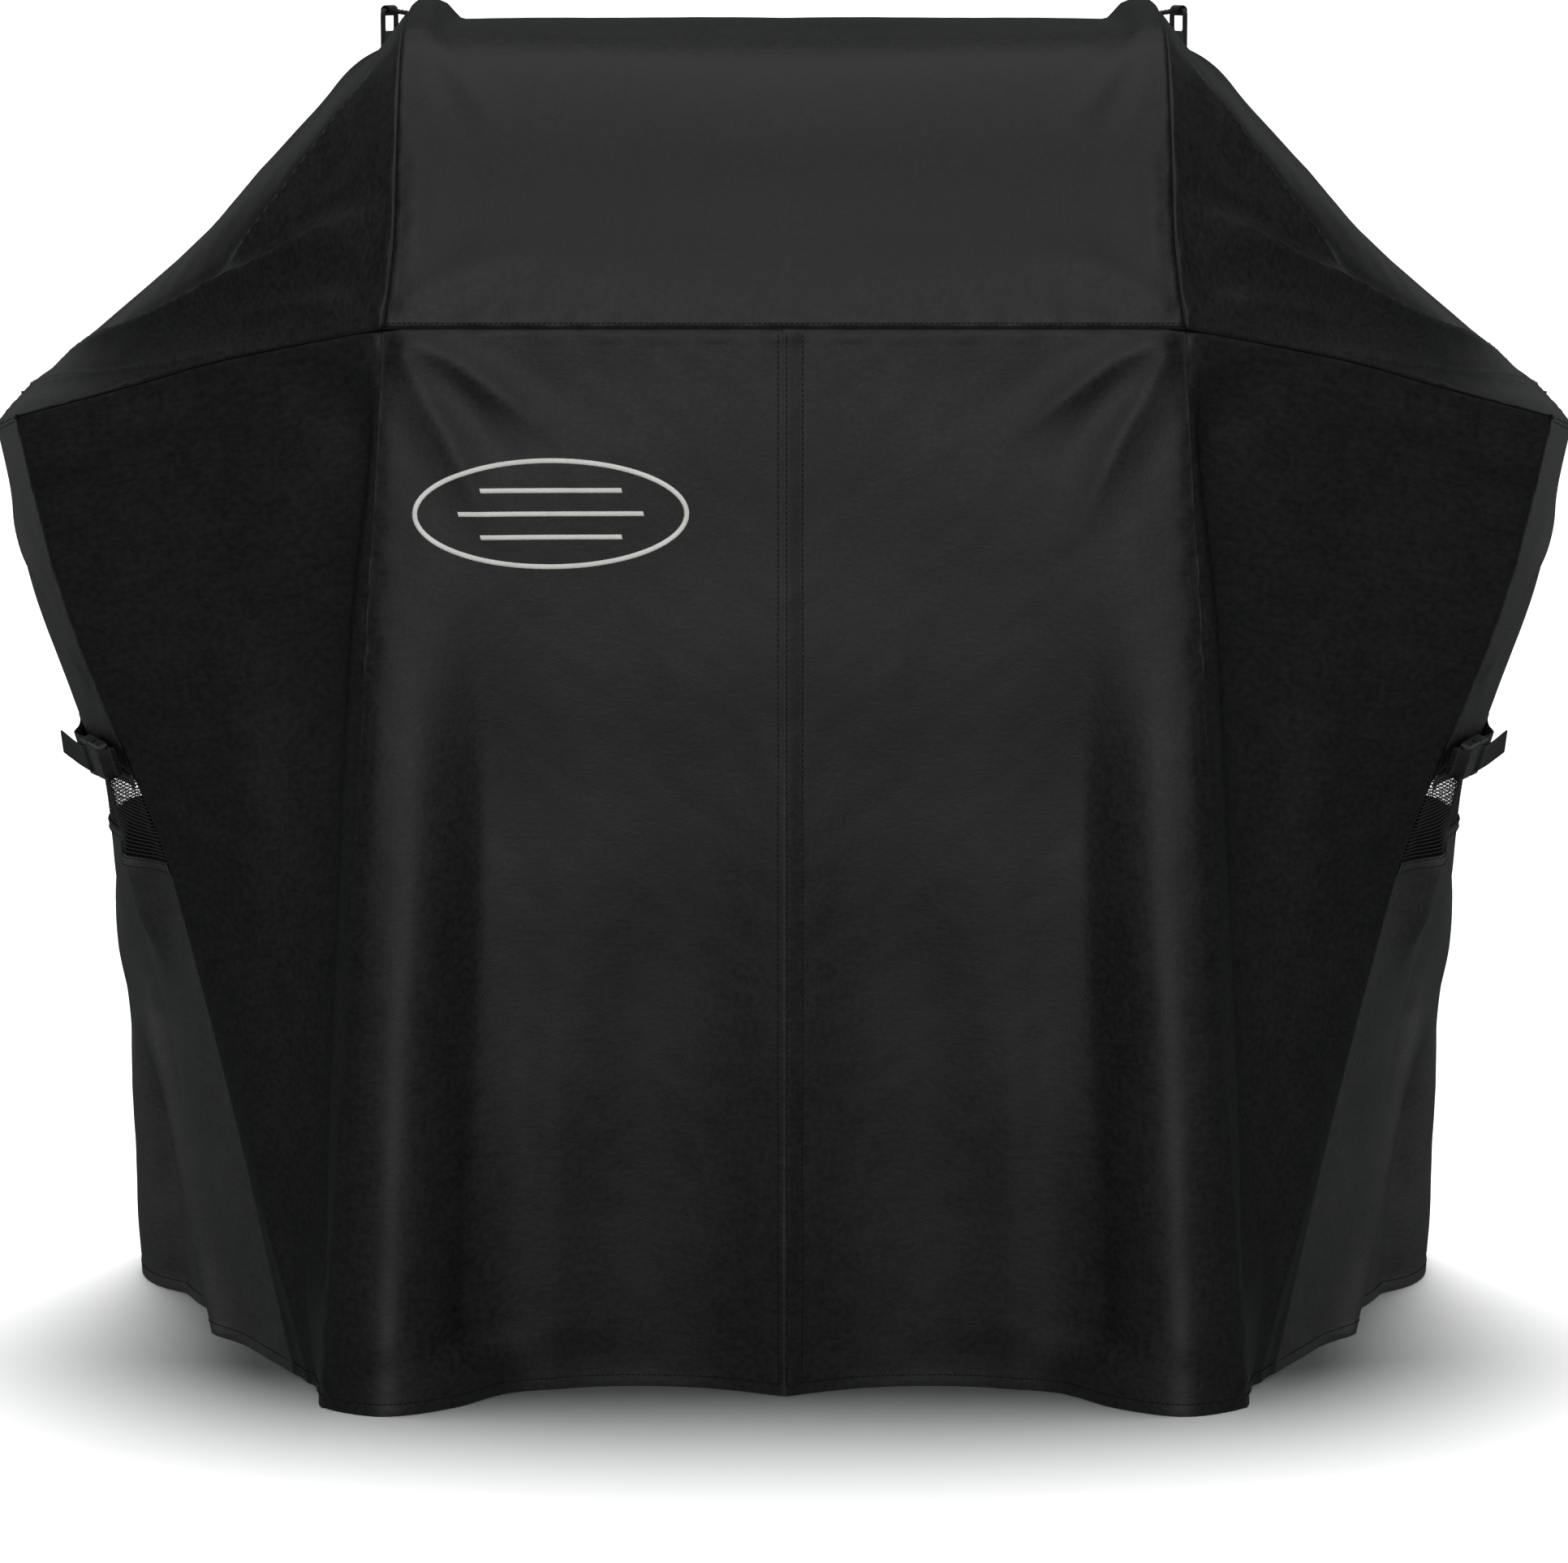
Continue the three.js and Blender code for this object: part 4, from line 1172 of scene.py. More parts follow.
SLOPE_FOLDS = (
    Fold(((0.40, 0.03), (0.35, 0.12), (0.30, 0.26), (0.25, 0.39), (0.20, 0.48)), 0.009, 0.010, -0.4, (0.3, 0.3), 1.15),
    Fold(
        ((0.16, 0.01), (0.18, 0.25), (0.20, 0.42), (0.23, 0.57), (0.31, 0.70), (0.52, 0.83), (0.92, 0.95)),
        0.0125, 0.013, -0.4, (0.12, 0.5), 1.15,
    ),
    Fold(((0.05, 0.06), (0.07, 0.20), (0.09, 0.33), (0.11, 0.46)), 0.0055, 0.009, -0.4, (0.3, 0.4), 1.0),
    Fold(
        ((0.03, 0.30), (0.03, 0.48), (0.07, 0.64), (0.21, 0.79), (0.60, 0.90), (0.95, 0.96)),
        0.0060, 0.007, -0.5, (0.3, 0.2), 1.0,
    ),
    Fold(((0.62, 0.03), (0.60, 0.30), (0.66, 0.55)), 0.005, 0.022, fade=(0.2, 0.4)),
    Fold(((0.85, 0.05), (0.80, 0.40), (0.86, 0.80)), -0.004, 0.025, fade=(0.3, 0.3)),
    Fold(((0.45, 0.07), (0.75, 0.07), (0.97, 0.08)), -0.006, 0.018, fade=(0.3, 0.05)),
)
SIDE_FOLDS = (
    Fold(((0.02, 0.385), (0.35, 0.39), (0.70, 0.38), (0.98, 0.37)), -0.0022, 0.022, fade=(0.05, 0.05)),
    Fold(((0.17, 0.42), (0.19, 0.50), (0.22, 0.62)), 0.014, 0.034, fade=(0.35, 0.5)),
    Fold(((0.60, 0.60), (0.45, 0.80), (0.31, 1.0)), 0.010, 0.022, fade=(0.35, 0.0)),
    Fold(((0.62, 0.68), (0.60, 0.84), (0.60, 1.0)), -0.012, 0.030, fade=(0.4, 0.0)),
    Fold(((0.04, 0.30), (0.20, 0.16), (0.45, 0.06)), 0.004, 0.014, fade=(0.2, 0.4)),
    Fold(((0.97, 0.45), (0.80, 0.55), (0.74, 0.72)), 0.004, 0.016, fade=(0.15, 0.4)),
)
BACK_FOLDS = (
    Fold(((0.97, 0.35), (0.80, 0.42), (0.62, 0.55)), 0.006, 0.020, fade=(0.1, 0.5)),
    Fold(((0.75, 0.55), (0.74, 0.78), (0.74, 1.0)), 0.006, 0.034, fade=(0.5, 0.0)),
    Fold(((0.26, 0.50), (0.26, 0.78), (0.26, 1.0)), 0.005, 0.034, fade=(0.5, 0.0)),
    Fold(((0.98, 0.02), (0.80, 0.09), (0.55, 0.14)), 0.005, 0.016, fade=(0.1, 0.5)),
)


@dataclass
class Panels:
    """The large cut pieces of coated cloth and their doubled hems."""

    cloths: Cloths
    spacing: float = 0.0055
    slope_spacing: float = 0.0038
    back_spacing: float = 0.009
    hem_stitch: float = 0.0095
    hem_thickness: float = 0.0030
    lap_width: float = 0.017
    lap_start: float = -0.0005

    def build(self) -> None:
        """Makes every panel."""
        self.lids()
        self.skirts()
        self.hems()
        self.lap()

    def lids(self) -> None:
        """The lid, the slopes over the shelves and the upper back."""
        c = self.cloths
        c.lid.sheet(self.spacing).piece("lid", Finish.CLOTH, ["lid_panel"])
        both(c.slope.sheet(self.slope_spacing), "slope", Finish.CLOTH, ["slope_panel"])
        c.back_upper.sheet(self.back_spacing).piece("back_upper", Finish.CLOTH, ["back_upper_panel"])

    def skirts(self) -> None:
        """The hanging panels down to their hems, and the side above and below its vent."""
        c, form = self.cloths, self.cloths.form
        tuck = form.hem_height - 0.003
        vent_foot = form.vent_top - form.vent_height
        for cloth, name in ((c.front, "front"), (c.gusset, "gusset")):
            both(cloth.sheet(self.spacing, high=cloth.at_height(tuck)), name, Finish.CLOTH, [f"{name}_skirt"])
        c.back.sheet(self.back_spacing, high=c.back.at_height(tuck)).piece("back", Finish.CLOTH, ["back_skirt"])
        upper = c.side.sheet(self.spacing, high=c.side.at_height(form.vent_top))
        both(upper, "side_upper", Finish.CLOTH, ["side_panel"])
        lower = c.side.sheet(self.spacing, c.side.at_height(vent_foot), c.side.at_height(tuck))
        both(lower, "side_lower", Finish.CLOTH, ["side_skirt"])

    def hems(self) -> None:
        """The doubled hems, pressed flat along their row of stitches."""
        c = self.cloths
        for cloth, part in ((c.front, "front"), (c.gusset, "gusset"), (c.side, "side"), (c.back, "back")):
            node, name = f"{part}_hem", f"{part}_hem_band"
            top = cloth.at_height(self.cloths.form.hem_height)
            band = cloth.sheet(self.spacing, low=top, lift=self._swell, thickness=self.hem_thickness)
            row = Soup()
            cloth.sew_at_height(row, self.hem_stitch)
            if cloth.whole:
                band.piece(name, Finish.CLOTH, [node])
                row.piece(f"{name}_stitches", Finish.BLACK_THREAD)
            else:
                both(band, name, Finish.CLOTH, [node])
                both(row, f"{name}_stitches", Finish.BLACK_THREAD)

    def _swell(self, points: Grid) -> Grid:
        """How far a hem stands out at its points."""
        height = points[..., 2]
        pressed = np.exp(-(((height - self.hem_stitch) / 0.0022) ** 2))
        return 0.0007 * (1.0 - smooth(0.010, 0.018, height)) - 0.0003 - 0.0011 * pressed

    def lap(self) -> None:
        """The overlap down the middle of the front, with its rows of stitches."""
        c = self.cloths
        half, whole = c.form.front, over_middle(c.form.front)

        def over(x: Grid, v: Grid) -> Grid:
            """The front at a distance to the right of its middle."""
            half_width = np.linalg.norm(half(np.ones_like(v), v) - half(np.zeros_like(v), v), axis=-1)
            return whole(0.5 + x / (2 * half_width), v)

        def on_front(face: Surface) -> Cloth:
            """A piece of the front's own cloth."""
            return Cloth(half, FRONT_FOLDS, "t", seed=c.front.seed, face=face)

        strip = on_front(lambda u, v: over(self.lap_start + self.lap_width * u, v))
        step = lambda points: 0.0015 - 0.0013 * smooth(0.003, 0.0155, points[..., 0])
        strip.sheet(0.004, lift=step, thickness=0.0012).piece("front_overlap", Finish.CLOTH, ["front_lap"])
        rows = Soup()
        v = np.linspace(0.005, 0.995, 500)
        for x, lift in ((0.0020, 0.0015), (0.0150, 0.0003), (-0.0048, 0.0)):
            line = on_front(lambda u, w, x=x: over(x + 0.002 * (u - 0.5), w))
            line.sew(rows, np.full_like(v, 0.5), v, lift)
        rows.piece("front_overlap_stitches", Finish.BLACK_THREAD)


@dataclass
class Seams:
    """The bound seam edges in the grooves between panels, in a cloth darker than the cover's as painted shade for the
    dark seam lines, and the rows stitched beside them.
    """

    cloths: Cloths
    radius: float = 0.0014
    sunk: float = 0.0031
    corner_sunk: float = 0.0060
    beside: float = 0.0045

    def build(self) -> None:
        """Makes every seam."""
        c, form = self.cloths, self.cloths.form
        whole = (
            ("waist_binding", form.waist_line, (form.lid, "t"), (form.front, "t")),
            ("lid_rear_binding", form.lid_rear, (form.lid, "b"), (form.back_upper, "t")),
            ("back_shelf_binding", form.back_shelf, (form.back_upper, "b"), (form.back, "t")),
        )
        paired = (
            ("lid_binding", form.lid_side, (form.lid, "e"), (form.slope, "t")),
            ("slope_binding", form.slope_line, (form.slope, "e"), (form.back_upper, "e")),
            ("shelf_front_binding", form.shelf_front_line, (form.slope, "s"), (form.gusset, "t")),
            ("shelf_edge_binding", form.shelf_edge, (form.slope, "b"), (form.side, "t")),
            ("corner_binding", form.corner, (form.front, "e"), (form.gusset, "s")),
            ("side_front_binding", form.side_front, (form.gusset, "e"), (form.side, "s")),
            ("side_rear_binding", form.side_rear, (form.side, "e"), (form.back, "e")),
        )
        # the cords use the darker seam cloth, painted shade for the dark lines along the seams
        for node, line, *faces in whole:
            path = self._path(line, faces, self.sunk)
            cord = Soup()
            cord.tube(np.concatenate([path[:0:-1] * MIRROR, path]), self.radius, CORD_SIDES)
            cord.piece(node.replace("_binding", "_seam"), Finish.LINING, [node])
        for node, line, *faces in paired:
            cord = Soup()
            sunk = self.corner_sunk if line is form.corner else self.sunk
            cord.tube(self._path(line, faces, sunk), self.radius, CORD_SIDES)
            both(cord, node.replace("_binding", "_seam"), Finish.LINING, [node])
        waist = Soup()
        u = np.linspace(0.004, 0.996, 300)
        share = np.full_like(u, self.beside / c.lid.spans[1])
        c.lid.sew(waist, u, share)
        waist.piece("waist_stitches", Finish.BLACK_THREAD)
        shelf = Soup()
        u = np.linspace(0.02, 0.98, 200)
        c.side.sew(shelf, u, np.full_like(u, self.beside / c.side.spans[1]))
        both(shelf, "shelf_edge_stitches", Finish.BLACK_THREAD)

    def _path(self, line: Seam, faces: Sequence[tuple[Surface, str]], sunk: float) -> Grid:
        """The seam sunk between its two panels.

        Args:
            line: The seam line.
            faces: Each panel's surface and which of its edges is the seam.
            sunk: How deep the cord lies.

        Returns:
            Points along the cord.
        """
        t = np.linspace(0.0, 1.0, max(12, round(line.length / 0.008)))
        away = unit(sum(normals_of(face, *along_edge(edge, t)) for face, edge in faces))
        path = line.at(t) - away * sunk
        path[:, 2] = np.maximum(path[:, 2], self.radius)
        return path


@dataclass
class Vents:
    """The open mesh bands in the sides, each framed by stitched tape."""

    cloths: Cloths
    pitch: float = 0.0030
    upright_pitch: float = 0.0042
    yarn: float = 0.00055
    upright_yarn: float = 0.00034
    yarn_depth: float = 0.0006
    upright_depth: float = 0.0009
    tape: float = 0.010
    tape_lift: float = 0.0013
    row_offset: float = 0.0033

    def build(self) -> None:
        """Makes the mesh and its tapes."""
        side, form = self.cloths.side, self.cloths.form
        top, foot = form.vent_top + 0.002, form.vent_top - form.vent_height - 0.002
        v_top, v_foot = side.at_height(top), side.at_height(foot)
        mesh = Soup()
        columns = round(side.spans[0] / self.upright_pitch)
        rows = round((top - foot) / self.pitch)
        u = np.linspace(0.003, 0.997, columns)
        for share in np.linspace(0.0, 1.0, rows):
            points, normals = side.shape(u, v_top(u) * (1 - share) + v_foot(u) * share)
            mesh.tube(points - normals * self.yarn_depth, self.yarn, YARN_SIDES)
        share = np.linspace(0.0, 1.0, rows)
        for x in u:
            across = np.full_like(share, x)
            points, normals = side.shape(across, v_top(across) * (1 - share) + v_foot(across) * share)
            mesh.tube(points - normals * self.upright_depth, self.upright_yarn, YARN_SIDES)
        both(mesh, "vent_mesh", Finish.MESH, ["side_vent"])
        for name, middle in (("vent_tape_top", form.vent_top), ("vent_tape_foot", form.vent_top - form.vent_height)):
            low, high = side.at_height(middle + self.tape / 2), side.at_height(middle - self.tape / 2)
            band = side.sheet(0.006, low, high, lift=self.tape_lift, thickness=0.0012, part=(0.004, 0.996))
            both(band, name, Finish.CLOTH)
            rows_of_stitches = Soup()
            for height in (middle - self.row_offset, middle + self.row_offset):
                side.sew_at_height(rows_of_stitches, height, self.tape_lift)
            both(rows_of_stitches, f"{name}_stitches", Finish.BLACK_THREAD)


@dataclass
class Buckles:
    """The side-release buckles and the webbing that runs through them."""

    cloths: Cloths
    strap_width: float = 0.025
    strap_thickness: float = 0.0016
    strap_lift: float = 0.0040
    setback: float = 0.036
    lift: float = 0.011
    mouth: float = 0.009
    travel: float = 0.036
    plug_length: float = 0.020
    under: float = -0.0034

    def __post_init__(self) -> None:
        """Finds the buckle's own directions."""
        side, height = self.cloths.form.side, self.cloths.form.strap
        self.share = self.cloths.side.at_height(height)
        self.start = side(np.array([0.0]), self.share(np.array([0.0])))[0]
        u = np.array([self._at(self.setback)])
        v = self.share(u)
        self.away = normals_of(side, u, v)[0]
        self.back = unit(np.cross(UP, self.away))
        self.up = np.cross(self.away, self.back)
        self.middle = side(u, v)[0] + self.away * self.lift

    def _at(self, distance: float) -> float:
        """The share of u where the side has gone a distance from its front seam."""
        low, high = 0.0, 0.6
        for _ in range(30):
            u = np.array([(low + high) / 2])
            point = self.cloths.form.side(u, self.share(u))[0]
            low, high = (u[0], high) if np.linalg.norm(point - self.start) < distance else (low, u[0])
        return float(low)

    def local(self, s: float, w: float, n: float) -> Grid:
        """A point given along the strap, up its width and away from the cloth."""
        return self.middle + self.back * s + self.up * w + self.away * n

    def _on_cloth(self, u: float) -> Frame:
        """Where the strap's middle lies on the side cloth, its upward direction and its normal."""
        side = self.cloths.form.side
        us = np.array([u])
        v = self.share(us)
        normal = normals_of(side, us, v)[0]
        ahead = side(us + 0.01, self.share(us + 0.01))[0] - side(us, v)[0]
        up = unit(np.cross(normal, unit(ahead - normal * np.dot(ahead, normal))))
        return side(us, v)[0] + normal * (self.strap_lift + self.strap_thickness / 2), up, normal

    def _band(self, soup: Soup, stops: Sequence[Frame], cuts: int) -> Frame:
        """Adds webbing through stops.

        Args:
            soup: Receives the webbing.
            stops: Middle points, each with its upward direction and its normal.
            cuts: How many points it is measured at.

        Returns:
            The middle points, upward directions and normals at the cuts.
        """
        places = np.array([place for place, _, _ in stops])
        t = np.linspace(0.0, 1.0, cuts)
        travel = travel_along(places)
        ups = unit(read_at(t, travel / travel[-1], np.array([up for _, up, _ in stops])))
        centres = Seam(*places).at(t)
        tangent = unit(np.gradient(centres, axis=0))
        normals = unit(np.cross(tangent, ups))
        ups = np.cross(normals, tangent)
        if float(np.dot(normals[len(t) // 2], stops[len(stops) // 2][2])) < 0:
            normals = -normals
        soup.ribbon(centres, ups, normals, self.strap_width, self.strap_thickness)
        return centres, ups, normals

    def _box_stitch(self, soup: Soup, band: Frame, low: int, high: int) -> None:
        """Sews a box with crossed rows on a band between two of its cuts."""
        centres, ups, normals = (part[low:high] for part in band)
        reach = 0.40 * self.strap_width
        rise = normals * (self.strap_thickness / 2)
        t = np.linspace(-1.0, 1.0, len(centres))[:, None]
        for offset in (np.ones_like(t), -np.ones_like(t), t, -t):
            soup.stitches(centres + ups * reach * offset + rise, normals, SHORT_STITCH)
        for k in (0, -1):
            w = np.linspace(-reach, reach, 12)[:, None]
            soup.stitches(centres[k] + ups[k] * w + rise[k], np.repeat(normals[k][None], len(w), 0), SHORT_STITCH)

    def build(self) -> None:
        """Makes the straps and dresses the buckles."""
        in_buckle = lambda s, n: (self.local(s, 0.0, n), self.up, self.away)
        front, front_rows = Soup(), Soup()
        stops = [self._on_cloth(0.012), in_buckle(-0.030, self.under), in_buckle(-0.0195, self.under)]
        band = self._band(front, stops, 24)
        self._loop(front)
        both(front, "strap_front_webbing", Finish.TAPE, ["strap_front"])
        self._box_stitch(front_rows, band, 2, 9)
        both(front_rows, "strap_front_stitches", Finish.BLACK_THREAD)
        rear, rear_rows = Soup(), Soup()
        straight = self.mouth + self.travel + self.plug_length + 0.004
        rejoin = self._at(self.setback + straight + 0.030)
        stops = [in_buckle(s, self.under) for s in (self.mouth + 0.004, 0.040, straight)]
        stops += [self._on_cloth(u) for u in np.linspace(rejoin, 0.985, 7)]
        band = self._band(rear, stops, 90)
        both(rear, "strap_rear_webbing", Finish.TAPE, ["strap_rear"])
        self._box_stitch(rear_rows, band, 82, 89)
        both(rear_rows, "strap_rear_stitches", Finish.BLACK_THREAD)
        self._tail()
        for side in SIDES:
            for node in ("buckle_socket", "buckle_plug"):
                dress(f"{node}_{side}", Finish.PLASTIC)

    def _loop(self, soup: Soup) -> None:
        """Adds the webbing turned round the socket's end bar and sewn back on itself."""
        t = self.strap_thickness
        over = 0.0052 + t / 2
        profile = [
            (-0.0192, self.under), (-0.0176, self.under + 0.0010), (-0.0168, self.under + 0.003), (-0.0168, 0.003),
            (-0.0175, over - 0.0006), (-0.0192, over), (-0.0215, over - 0.0004), (-0.0245, 0.0022),
            (-0.0285, self.under + t * 1.15), (-0.034, self.under + t * 1.05),
        ]
        line = Seam(*[self.local(s, 0.0, n) for s, n in profile])
        centres = line.at(np.linspace(0.0, 1.0, 40))
        tangent = unit(np.gradient(centres, axis=0))
        ups = np.repeat(self.up[None], len(centres), 0)
        soup.ribbon(centres, ups, unit(np.cross(tangent, ups)), self.strap_width * 0.94, t)

    def _tail(self) -> None:
        """The strap's loose end, turned over the plug's rear bar; it moves with the plug."""
        near = self.mouth + 0.0005
        profile = (
            (0.0058, 0.0, 0.0008), (0.0062, 0.0, 0.0045), (0.0085, 0.0, 0.0066), (0.0180, 0.0005, 0.0070),
            (0.0300, 0.0025, 0.0078), (0.0420, 0.0060, 0.0090), (0.0530, 0.0105, 0.0108),
        )
        tail = Soup()
        line = Seam(*[self.local(near + s, w, n) for s, w, n in profile])
        centres = line.at(np.linspace(0.0, 1.0, 36))
        tangent = unit(np.gradient(centres, axis=0))
        ups = np.repeat(self.up[None], len(centres), 0)
        normals = unit(np.cross(tangent, ups))
        tail.ribbon(centres, np.cross(normals, tangent), normals, self.strap_width * 0.92, self.strap_thickness)
        for side, thing in (("right", tail), ("left", tail.mirrored())):
            thing.piece(f"strap_tail_{side}", Finish.TAPE, body=f"plug_{side}")


@dataclass
class HangingFrames:
    """The moulded frames at the lid's rear corners, hung on folded webbing tabs."""

    pivot: tuple[float, float, float] = (0.352, 0.27395, 1.128)
    root: tuple[float, float, float] = (0.3045, 0.2440, 1.1085)
    turn: float = math.radians(20.0)
    bar: float = 0.004
    gap: float = 0.0005
    tab_width: float = 0.018
    tab_thickness: float = 0.0014
    tab_length: float = 0.036
    tab_drop: float = 0.005
    bend_rise: float = 0.0015

    def build(self) -> None:
        """Makes the tabs and dresses the frames."""
        away = np.array((math.cos(self.turn), math.sin(self.turn), 0.0))
        across = np.array((-math.sin(self.turn), math.cos(self.turn), 0.0))
        half = self.tab_thickness / 2
        ring = self.bar * 0.71 + self.gap + half
        opening = math.asin(min(1.0, 1.3 * half / ring))
        angles = np.linspace(math.pi - opening, -math.pi + opening, 30)
        round_bar = [(ring * math.cos(a), ring * math.sin(a)) for a in angles]
        stem = np.linspace(1.0, 0.12, 8)
        upper = [(-self.tab_length * k, half - self.tab_drop * k) for k in stem]
        lower = [(-self.tab_length * k, -half - self.tab_drop * k) for k in stem[::-1]]
        profile = np.array(upper + round_bar + lower)
        centres = np.array(self.pivot) + profile[:, :1] * away + profile[:, 1:] * UP
        bend = np.linspace(0.0, 1.0, 5)[:-1, None]
        start, end = (np.array(self.root) + (0.0, 0.0, side * half) for side in (1.0, -1.0))
        rise = np.sin(bend * math.pi) * UP * self.bend_rise
        centres = np.concatenate(
            [start + (centres[0] - start) * bend + rise, centres, (end + (centres[-1] - end) * bend + rise)[::-1]]
        )
        tangent = unit(np.gradient(centres, axis=0))
        sideways = np.repeat(across[None], len(centres), 0)
        tab, rows = Soup(), Soup()
        normals = unit(np.cross(sideways, tangent))
        tab.ribbon(centres, sideways, normals, self.tab_width, self.tab_thickness * 0.96)
        for offset in (-0.006, 0.006):
            top = centres[4:12] + sideways[4:12] * offset + np.array((0.0, 0.0, half))
            rows.stitches(top, np.repeat([[0.0, 0.0, 1.0]], 8, 0), SHORT_STITCH)
        both(tab, "tab_webbing", Finish.TAPE, ["hanging_tab"])
        both(rows, "tab_stitches", Finish.BLACK_THREAD)
        for side in SIDES:
            dress(f"hanging_frame_{side}", Finish.PLASTIC)


@dataclass
class Badge:
    """An embroidered oval with three bars, worked in satin stitch on the left of the front."""

    cloths: Cloths
    width: float = 0.219
    height: float = 0.086
    middle: tuple[float, float] = (0.188, 0.735)
    band: float = 0.0036
    bars: int = 3
    long_bar: float = 0.34
    short_bar: float = 0.26
    bar_gap: float = 0.22
    strand_pitch: float = 0.00043
    lean: float = 0.25
    yarn: float = 0.00032

    def build(self) -> None:
        """Works the oval and its bars."""
        angle = np.linspace(0.0, 2 * math.pi, 1500, endpoint=False)
        x, z = self.width / 2 * np.cos(angle), self.height / 2 * np.sin(angle)
        self._satin("badge_outline", x, z, ["badge_oval"], True)
        for k in range(self.bars):
            reach = self.width * (self.long_bar if k == 1 else self.short_bar)
            x = np.linspace(-reach, reach, 400)
            z = np.full_like(x, (k - 1) * self.height * self.bar_gap)
            self._satin(f"badge_line_{k + 1}", x, z, [f"badge_bar_{k + 1}"], False)

    def _on_front(self, x: Grid, z: Grid) -> tuple[Grid, Grid]:
        """Points and normals of the front cloth at sideways and upward distances from the badge's middle."""
        form = self.cloths.form
        x, z = x + self.middle[0], z + self.middle[1]
        v = (form.waist - z) / form.waist
        u = x / form.waist_half
        for _ in range(6):
            p = form.front(u, v)
            edge = form.front(np.ones_like(v), v)[..., 0]
            u, v = u + (x - p[..., 0]) / edge, v + (p[..., 2] - z) / form.waist
        return self.cloths.front.shape(u, v)

    def _satin(self, name: str, x: Grid, z: Grid, nodes: Sequence[str], closed: bool) -> None:
        """Works a line in satin stitch.

        Args:
            name: The piece's name.
            x: Sideways distances of the line from the badge's middle.
            z: Upward distances.
            nodes: CAD nodes that it stands for.
            closed: Whether the line closes on itself.
        """
        line = np.stack([x, z], -1)
        along = unit(np.roll(line, -1, 0) - np.roll(line, 1, 0) if closed else np.gradient(line, axis=0))
        travel = travel_along(line)
        s = np.arange(0.0, travel[-1], self.strand_pitch)
        rng = np.random.default_rng(5)
        lean = self.lean + rng.normal(0.0, 0.02, len(s))
        across = [np.interp(s, travel, -along[:, 1]), np.interp(s, travel, along[:, 0])]
        ahead = [np.interp(s, travel, along[:, 0]), np.interp(s, travel, along[:, 1])]
        reach = self.band / 2 * (1.0 + rng.normal(0.0, 0.03, len(s)))
        work = Soup()
        strands = []
        for share in (-1.0, -0.7, 0.0, 0.7, 1.0):
            dx = (across[0] + ahead[0] * lean) * reach * share
            dz = (across[1] + ahead[1] * lean) * reach * share
            points, normals = self._on_front(np.interp(s, travel, x) + dx, np.interp(s, travel, z) + dz)
            strands.append(points + normals * (0.0001 + 0.0009 * (1.0 - share**4)))
        for strand in np.stack(strands, 1):
            work.tube(strand, self.yarn, YARN_SIDES)
        work.mirrored().piece(name, Finish.WHITE_THREAD, nodes)


def dress(node: str, finish: Finish) -> None:
    """Gives a CAD node its finish."""
    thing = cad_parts[node]
    thing.data.materials.clear()
    thing.data.materials.append(finish.material())


# ---------------------------------------------------------------- studio
@dataclass(frozen=True)
class Lamp:
    """A rectangular soft light that reaches one group of pieces."""

    name: str
    place: tuple[float, float, float]
    target: tuple[float, float, float]
    size: tuple[float, float]
    watts: float
    reaches: str

    def on_side(self, side: str) -> "Lamp":
        """The light of the same kind on one side; the lamp itself is given for the right."""
        place, target = ((SIDES[side] * x, y, z) for x, y, z in (self.place, self.target))
        return replace(self, name=f"{self.name}_{side}", place=place, target=target)


FRONT_LAMPS = (
    Lamp("front", (0.0, -6.2, 1.0), (0.0, 0.0, 0.75), (2.0, 4.6), 120.0, "cover_only"),
    Lamp("above", (0.0, -0.7, 3.4), (0.0, -0.1, 1.0), (3.0, 4.6), 40.0, "cover_only"),
)
SIDE_LAMPS = (
    Lamp("rim", (3.6, 1.5, 0.9), (0.6, 0.1, 0.6), (3.0, 2.6), 7.0, "flanks_only"),
    Lamp("flank", (5.4, 0.0, 1.1), (0.6, 0.0, 0.6), (2.6, 2.6), 45.0, "flanks_only"),
    Lamp("shoulder", (2.8, 3.4, 1.7), (0.5, 0.0, 0.9), (2.2, 1.4), 2.4, "slopes_only"),
)
REAR_LAMPS = (
    Lamp("behind", (0.0, 6.2, 1.2), (0.0, 0.0, 0.7), (3.0, 3.6), 130.0, "rear_only"),
    Lamp("emblem", (0.0, -6.2, 1.0), (0.0, 0.0, 0.75), (2.0, 4.6), 170.0, "badge_only"),
)
LIT_TOGETHER = {  # the starts of the names of the pieces in each group
    "cover_only": ("",),
    "flanks_only": ("side_", "vent_", "strap_", "buckle_", "shelf_edge_", "hanging_", "tab_"),
    "slopes_only": ("slope_", "shelf_", "lid_seam"),
    "rear_only": ("back", "lid_rear", "side_rear", "hanging_", "tab_"),
    "badge_only": ("badge_",),
}


